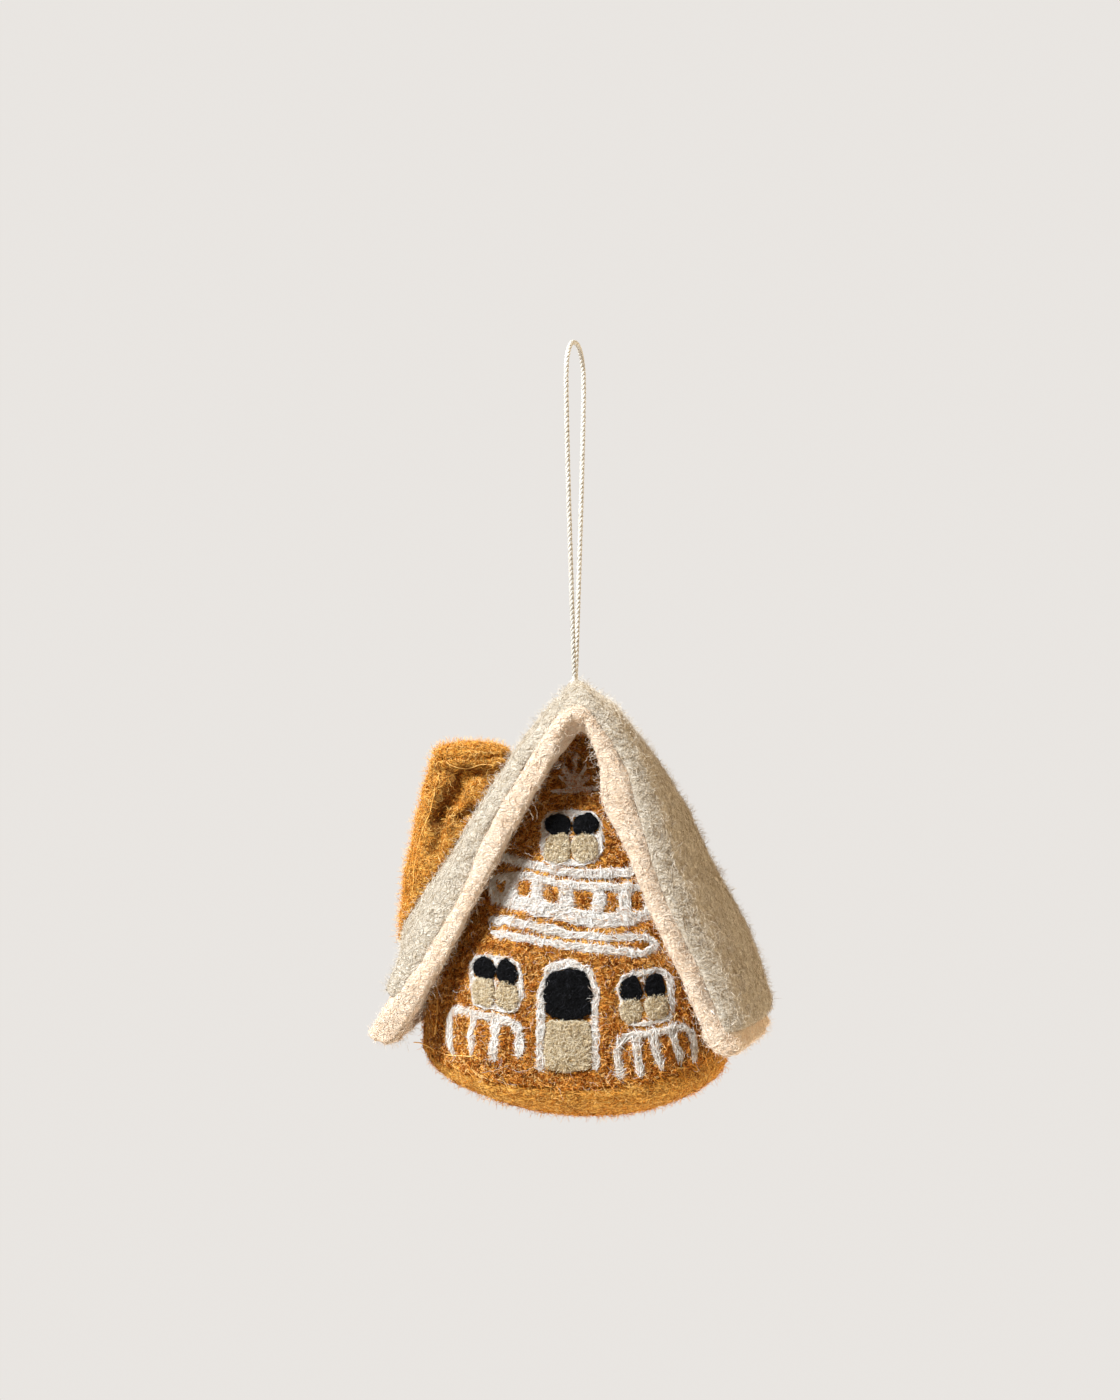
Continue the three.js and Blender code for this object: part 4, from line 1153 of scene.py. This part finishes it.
# values shared by all fibres, then one row for each kind, in mm and radians
fibreShared = {"raised": 0.2, "raisedLift": 1.5, "rooted": 0.2}
lyingKeys = "count", "length", "bend", "sink", "lift", "thick", "wiggle", "wayReach", "stray"
risingKeys = "count", "length", "lean", "curl", "thick", "wobble", "steps"
fibreSet = tableOf(lyingKeys, [
    ("roofLying", 8200, (1.2, 4.5), 4.0, -0.02, 0.45, (0.03, 0.06)),
    ("liningLying", 8200, (1.0, 3.6), 3.0, -0.02, 0.4, (0.035, 0.07)),
    ("wallLying", 8200, (0.8, 3.0), 6.5, 0.02, 0.6, (0.04, 0.085), 0.5),
    ("baseLying", 8200, (1.0, 3.6), 4.5, -0.02, 0.4, (0.03, 0.07), 0.35),
    ("chimneyLying", 8200, (0.9, 3.4), 4.5, -0.02, 0.45, (0.03, 0.07), 0.35),
    ("whiteLying", 8200, (1.4, 4.8), 0.7, 0.0, 0.35, (0.035, 0.075), 0.18, 0.8, 0.35),
    ("fanLying", 900, (1.0, 2.8), 0.8, 0.0, 0.3, (0.02, 0.045), 0.2, 0.5, 0.3),
    ("blackLying", 3500, (0.7, 2.0), 3.0, 0.0, 0.25, (0.04, 0.08)),
    ("beigeLying", 6000, (0.6, 2.2), 4.4, -0.02, 0.4, (0.03, 0.065), 0.4),
    ("overLying", 500, (0.8, 2.6), 3.4, 0.12, 0.3, (0.02, 0.035)),
    # fanOver: rust fibres over the fan, partly the rust wool mixed into it, partly painted shade
    ("fanOver", 350, (0.8, 2.6), 3.4, 0.1, 0.3, (0.02, 0.045)),
]) | tableOf(risingKeys, [
    ("roofRising", 16000, (0.7, 3.4), (0.2, 1.5), 3.0, (0.018, 0.038), 0.1),
    ("liningRising", 16000, (0.6, 2.8), (0.3, 1.5), 3.6, (0.018, 0.036), 0.1),
    ("wallRising", 14000, (0.6, 2.6), (0.5, 1.5), 5.0, (0.024, 0.046), 0.12),
    ("baseRising", 12000, (0.6, 3.0), (0.3, 1.5), 4.0, (0.022, 0.045), 0.1),
    ("chimneyRising", 12000, (0.6, 3.2), (0.3, 1.5), 4.0, (0.022, 0.045), 0.1),
    ("whiteRising", 7000, (0.4, 1.7), (0.9, 1.55), 2.6, (0.018, 0.032)),
    ("trimStrays", 420, (2.0, 6.5), (0.6, 1.5), 9.0, (0.016, 0.028), 0.12, 14),
    ("footStrays", 260, (1.5, 5.0), (0.8, 1.5), 8.0, (0.016, 0.03), 0.12, 12),
    ("strays", 380, (2.5, 8.0), (1.0, 1.5), 9.0, (0.014, 0.026), 0.12, 14),
])

# where fibres are left out or laid more thickly, in mm from the ridge
placeSet = {
    "paneGap": 0.12,
    "string": {"deep": 1.6, "side": 1.4, "spread": 0.6, "knot": 2.7},
    "fold": {"reach": 1.5, "share": 0.35},
    "hidden": 0.1,  # share of the fibres on hidden faces
    "sideways": 0.02,  # share of the fibres on faces that don't face the front
    "centre": 0.02,  # metres, how far below its own place each outward direction starts
    "footReach": 3,
    "facade": {"reach": 0.09, "front": -0.008},  # metres
    "beside": {"walls": 0.75, "front": 0.6},
    # the roof's half depth in metres at the ridge, and how it grows on the way down
    "gable": {"half": 0.021, "grow": 0.007, "drop": 0.083},
    "trim": {"band": 6, "widen": 0.1, "inner": 4, "eave": 9, "least": 0.15, "most": 1.5},
    "strays": {"inner": 3, "least": 0.1, "turned": 0.3},
}


def clearOfPanes(paths):  # leaves out the fibres that would cross the panes
    gap = placeSet["paneGap"] * mm
    kept = [all(paneTree.find_nearest(Vector(p))[3] > gap for p in path) for path in paths]
    return paths[np.array(kept)]


def clearOfString(paths):  # leaves out the fibres that the string would meet as the house swings
    look = placeSet["string"]
    side, deep, up = np.moveaxis((paths - np.array(ridge)) / mm, -1, 0)
    met = (up > 0) & (np.abs(deep) < look["deep"]) & (np.abs(side) < look["side"] + look["spread"] * up)
    met |= side**2 + deep**2 + up**2 < look["knot"] ** 2
    return paths[~met.any(axis=1)]


def outsideOnly(places, normals):  # more fibres on what faces out, few on hidden faces
    out = places * np.array([1, 1, 0]) + np.array([0, 0, placeSet["centre"]])
    return placeSet["hidden"] + np.clip((normals * unit(out)).sum(axis=1), 0, 1)


def frontOnly(places, normals):
    return placeSet["sideways"] + np.clip(-normals[:, 1], 0, 1)


def chimneyOpen(places, normals):  # few fibres in the folds
    near = [distanceToLine(fromRidge(places), line) for line, deep, _ in chimneySet["creases"] if deep > 0]
    folded = (np.min(near, axis=0) < placeSet["fold"]["reach"]) & (normals[:, 1] < 0)
    return outsideOnly(places, normals) * np.where(folded, placeSet["fold"]["share"], 1)


def besideNeedled(places, weights, reach):  # none under the needled work
    facade = placeSet["facade"]
    for k, place in enumerate(places):
        if abs(place[2] - ridge.z) < facade["reach"] and place[1] < facade["front"]:
            if needledTree.find_nearest(Vector(place))[3] < reach * mm:
                weights[k] = 0
    return weights


def wallOutside(places, normals):
    return besideNeedled(places, outsideOnly(places, normals), placeSet["beside"]["walls"])


def wallFront(places, normals):
    return besideNeedled(places, frontOnly(places, normals), placeSet["beside"]["front"])


def footOnly(places, normals):  # near the seam of the base, at the front
    seam = sum(corner[2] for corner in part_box("base_seam")) / 2
    return (np.abs(places[:, 2] - seam) < placeSet["footReach"] * mm) * frontOnly(places, normals)


def gableHalf(places):  # half the roof's depth at each place
    gable = placeSet["gable"]
    return gable["half"] + gable["grow"] * (ridge.z - places[:, 2]) / gable["drop"]


def trimOnly(places, normals):  # the rolled edge of the lining shows at the gables and the eaves
    look, (low, high) = placeSet["trim"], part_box("roof_lining")
    fall = (ridge.z - places[:, 2]) / placeSet["gable"]["drop"]
    gable = np.abs(places[:, 1]) > high.y - look["band"] * mm * (1 + fall * look["widen"])
    gable |= np.abs(places[:, 1]) > gableHalf(places) - look["inner"] * mm
    eave = places[:, 2] < low.z + look["eave"] * mm
    return look["least"] + (gable | eave) * look["most"]


def gableTrim(places, normals):  # along the front gable, most on the side that faces the wall
    look = placeSet["strays"]
    inner = np.clip(-(normals[:, 0] * np.sign(places[:, 0])) + look["turned"], 0, 1)
    return (places[:, 1] < -gableHalf(places) + look["inner"] * mm) * (look["least"] + inner)


def lay(name, key, pieces, tree, colour, seed, weigh=None, shadeFrom=(0, 1), clear=None):
    look = fibreSet[key]
    rng = np.random.default_rng(seed)
    places, normals = spread(pieces, look["count"], rng, weigh)
    if tree is None:
        paths = risingPaths(places, normals, rng, look)
    else:
        ways = strandWays(places, pieces, look["wayReach"]) if "wayReach" in look else None
        paths = lyingPaths(tree, places, normals, rng, look, ways)
    if clear is not None:
        paths = clear(paths)
    radii = rng.uniform(*look["thick"], (len(paths), 1)) * mm
    shades = rng.uniform(*shadeFrom, len(paths))
    strandPiece(name, paths, radii, 3, fibreFinish[colour], feltLooks[colour]["slot"], shades=shades)


cover, lining, chimney = [roofCover], [roofLining], [chimneySleeve, chimneyCap]
coverTree, liningTree = surfaceOf(*cover), surfaceOf(*lining)
lay("roof_cover_nap", "roofLying", cover, coverTree, "sage", 401, outsideOnly)
lay("roof_cover_second_nap", "roofLying", cover, coverTree, "sage", 405, outsideOnly)
lay("roof_cover_fuzz", "roofRising", cover, None, "sage", 402, outsideOnly, (0.35, 1), clearOfString)
lay("roof_lining_nap", "liningLying", lining, liningTree, "peach", 403, trimOnly)
lay("roof_lining_fuzz", "liningRising", lining, None, "peach", 404, trimOnly, (0.3, 1))
lay("trim_strays", "trimStrays", lining, None, "peach", 406, gableTrim, (0.6, 1))
print("roof fibres laid")
panes = [*panePieces["black"], *panePieces["beige"]]
needledTree = surfaceOf(*whitePieces, *panes)
wallsTree = surfaceOf(*walls)
lay("wall_nap", "wallLying", walls, wallsTree, "rust", 411, wallOutside)
lay("front_wall_nap", "wallLying", walls[:1], wallsTree, "rust", 413, wallFront)
lay("wall_fuzz", "wallRising", walls, None, "rust", 412, wallOutside, (0.3, 1))
lay("base_nap", "baseLying", [basePiece], surfaceOf(basePiece), "mustard", 421)
lay("foot_strays", "footStrays", [walls[0], basePiece], None, "mustard", 423, footOnly, (0.6, 1))
lay("base_fuzz", "baseRising", [basePiece], None, "mustard", 422, None, (0.4, 1))
lay("chimney_nap", "chimneyLying", chimney, surfaceOf(*chimney), "mustard", 431, chimneyOpen)
lay("chimney_fuzz", "chimneyRising", chimney, None, "mustard", 432, chimneyOpen, (0.4, 1))
print("body and chimney fibres laid")
paneTree = surfaceOf(*panes)
facadeTree = surfaceOf(walls[0], *whitePieces, *panes)
lay("white_nap", "whiteLying", whitePieces[1:], facadeTree, "white", 441, frontOnly, clear=clearOfPanes)
lay("fan_nap", "fanLying", whitePieces[:1], facadeTree, "white", 447, frontOnly)
# rust fibres over the fan: partly the rust wool mixed into it, partly painted shade, darker than those over
# the other white work
lay("rust_and_shade_over_fan", "fanOver", whitePieces[:1], facadeTree, "rust", 448, frontOnly, (0.15, 0.8))
lay("white_fuzz", "whiteRising", whitePieces, None, "white", 442, frontOnly)
lay("dark_pane_nap", "blackLying", panePieces["black"], facadeTree, "black", 443, frontOnly)
lay("beige_pane_nap", "beigeLying", panePieces["beige"], facadeTree, "beige", 444, frontOnly)
lay("rust_over_white", "overLying", whitePieces, facadeTree, "rust", 445, frontOnly, (0.3, 1))
lay("white_strays", "strays", [walls[0]], None, "white", 446, wallFront)
print("needled fibres laid")


# Studio

studioSet = {
    "backdrop": (0.815, 0.787, 0.757),
    "fill": (1.0, 0.68, 0.44),
    "fillStrength": 0.16,
    "floorDrop": 0.72,
    "floorReach": 1.35,
    "floorFade": (0.45, 0.97),  # shares of its reach
    "floorColour": (0.86, 0.84, 0.80, 1),
    "aim": Vector((0, 0, ridge.z - 0.05)),
    "lamps": {
        "key_light": {"place": (-0.7, -0.58, 0.7), "size": 0.3, "power": 36.8, "colour": (0.905, 0.96, 1.0)},
        "right_light": {"place": (0.85, 0.25, 0.1), "size": 0.8, "power": 9.8, "colour": (1.0, 0.83, 0.57)},
        "low_light": {"place": (0.0, -0.1, -0.68), "size": 0.7, "power": 3.0, "colour": (1.0, 0.88, 0.72)},
    },
}


def softbox(name, look):
    data = bpy.data.lights.new(name, "AREA")
    data.shape = "SQUARE"
    data.size = look["size"]
    data.energy = look["power"]
    data.color = look["colour"]
    lamp = bpy.data.objects.new(name, data)
    lamp.location = look["place"]
    aim = studioSet["aim"] - Vector(look["place"])
    lamp.rotation_euler = aim.to_track_quat("-Z", "Y").to_euler()
    bpy.context.scene.collection.objects.link(lamp)


def makeWorld():
    world = bpy.data.worlds.new("studio")
    bpy.context.scene.world = world
    shader = Shader(world)
    path = shader.add("ShaderNodeLightPath")
    seen = Value(shader, path.outputs["Is Camera Ray"]).larger(Value(shader, path.outputs["Is Glossy Ray"]))
    seen = seen.larger(Value(shader, path.outputs["Is Transmission Ray"]))
    fill = tuple(c * studioSet["fillStrength"] for c in studioSet["fill"])
    colour = shader.mix(seen, fill, studioSet["backdrop"])
    background = shader.add("ShaderNodeBackground", None, {"Color": colour, "Strength": 1.0})
    shader.add("ShaderNodeOutputWorld", None, {"Surface": background.outputs[0]})


def makeFloor():
    work = bmesh.new()
    bmesh.ops.create_circle(work, cap_ends=True, segments=96, radius=studioSet["floorReach"])
    mesh = bpy.data.meshes.new("floor")
    work.to_mesh(mesh)
    work.free()
    floor = newPiece("floor", mesh)
    floor.location = (0, 0, -studioSet["floorDrop"])
    material = bpy.data.materials.new("pale floor")
    shader = Shader(material)
    away = shader.add("ShaderNodeVectorMath", {"operation": "LENGTH"}, {0: shader.place()})
    away = Value(shader, away.outputs["Value"])
    edge = away.between(*(studioSet["floorReach"] * share for share in studioSet["floorFade"]))
    paper = {"Base Color": studioSet["floorColour"], "Roughness": 0.9}
    paper = shader.add("ShaderNodeBsdfPrincipled", None, paper).outputs[0]
    clear = shader.add("ShaderNodeBsdfTransparent").outputs[0]
    surface = shader.add("ShaderNodeMixShader", None, {0: edge, 1: paper, 2: clear}).outputs[0]
    shader.add("ShaderNodeOutputMaterial", None, {"Surface": surface})
    mesh.materials.append(material)


for name, look in studioSet["lamps"].items():
    softbox(name, look)
makeWorld()
makeFloor()
bpy.context.scene.view_settings.view_transform = "Standard"
print("studio made")
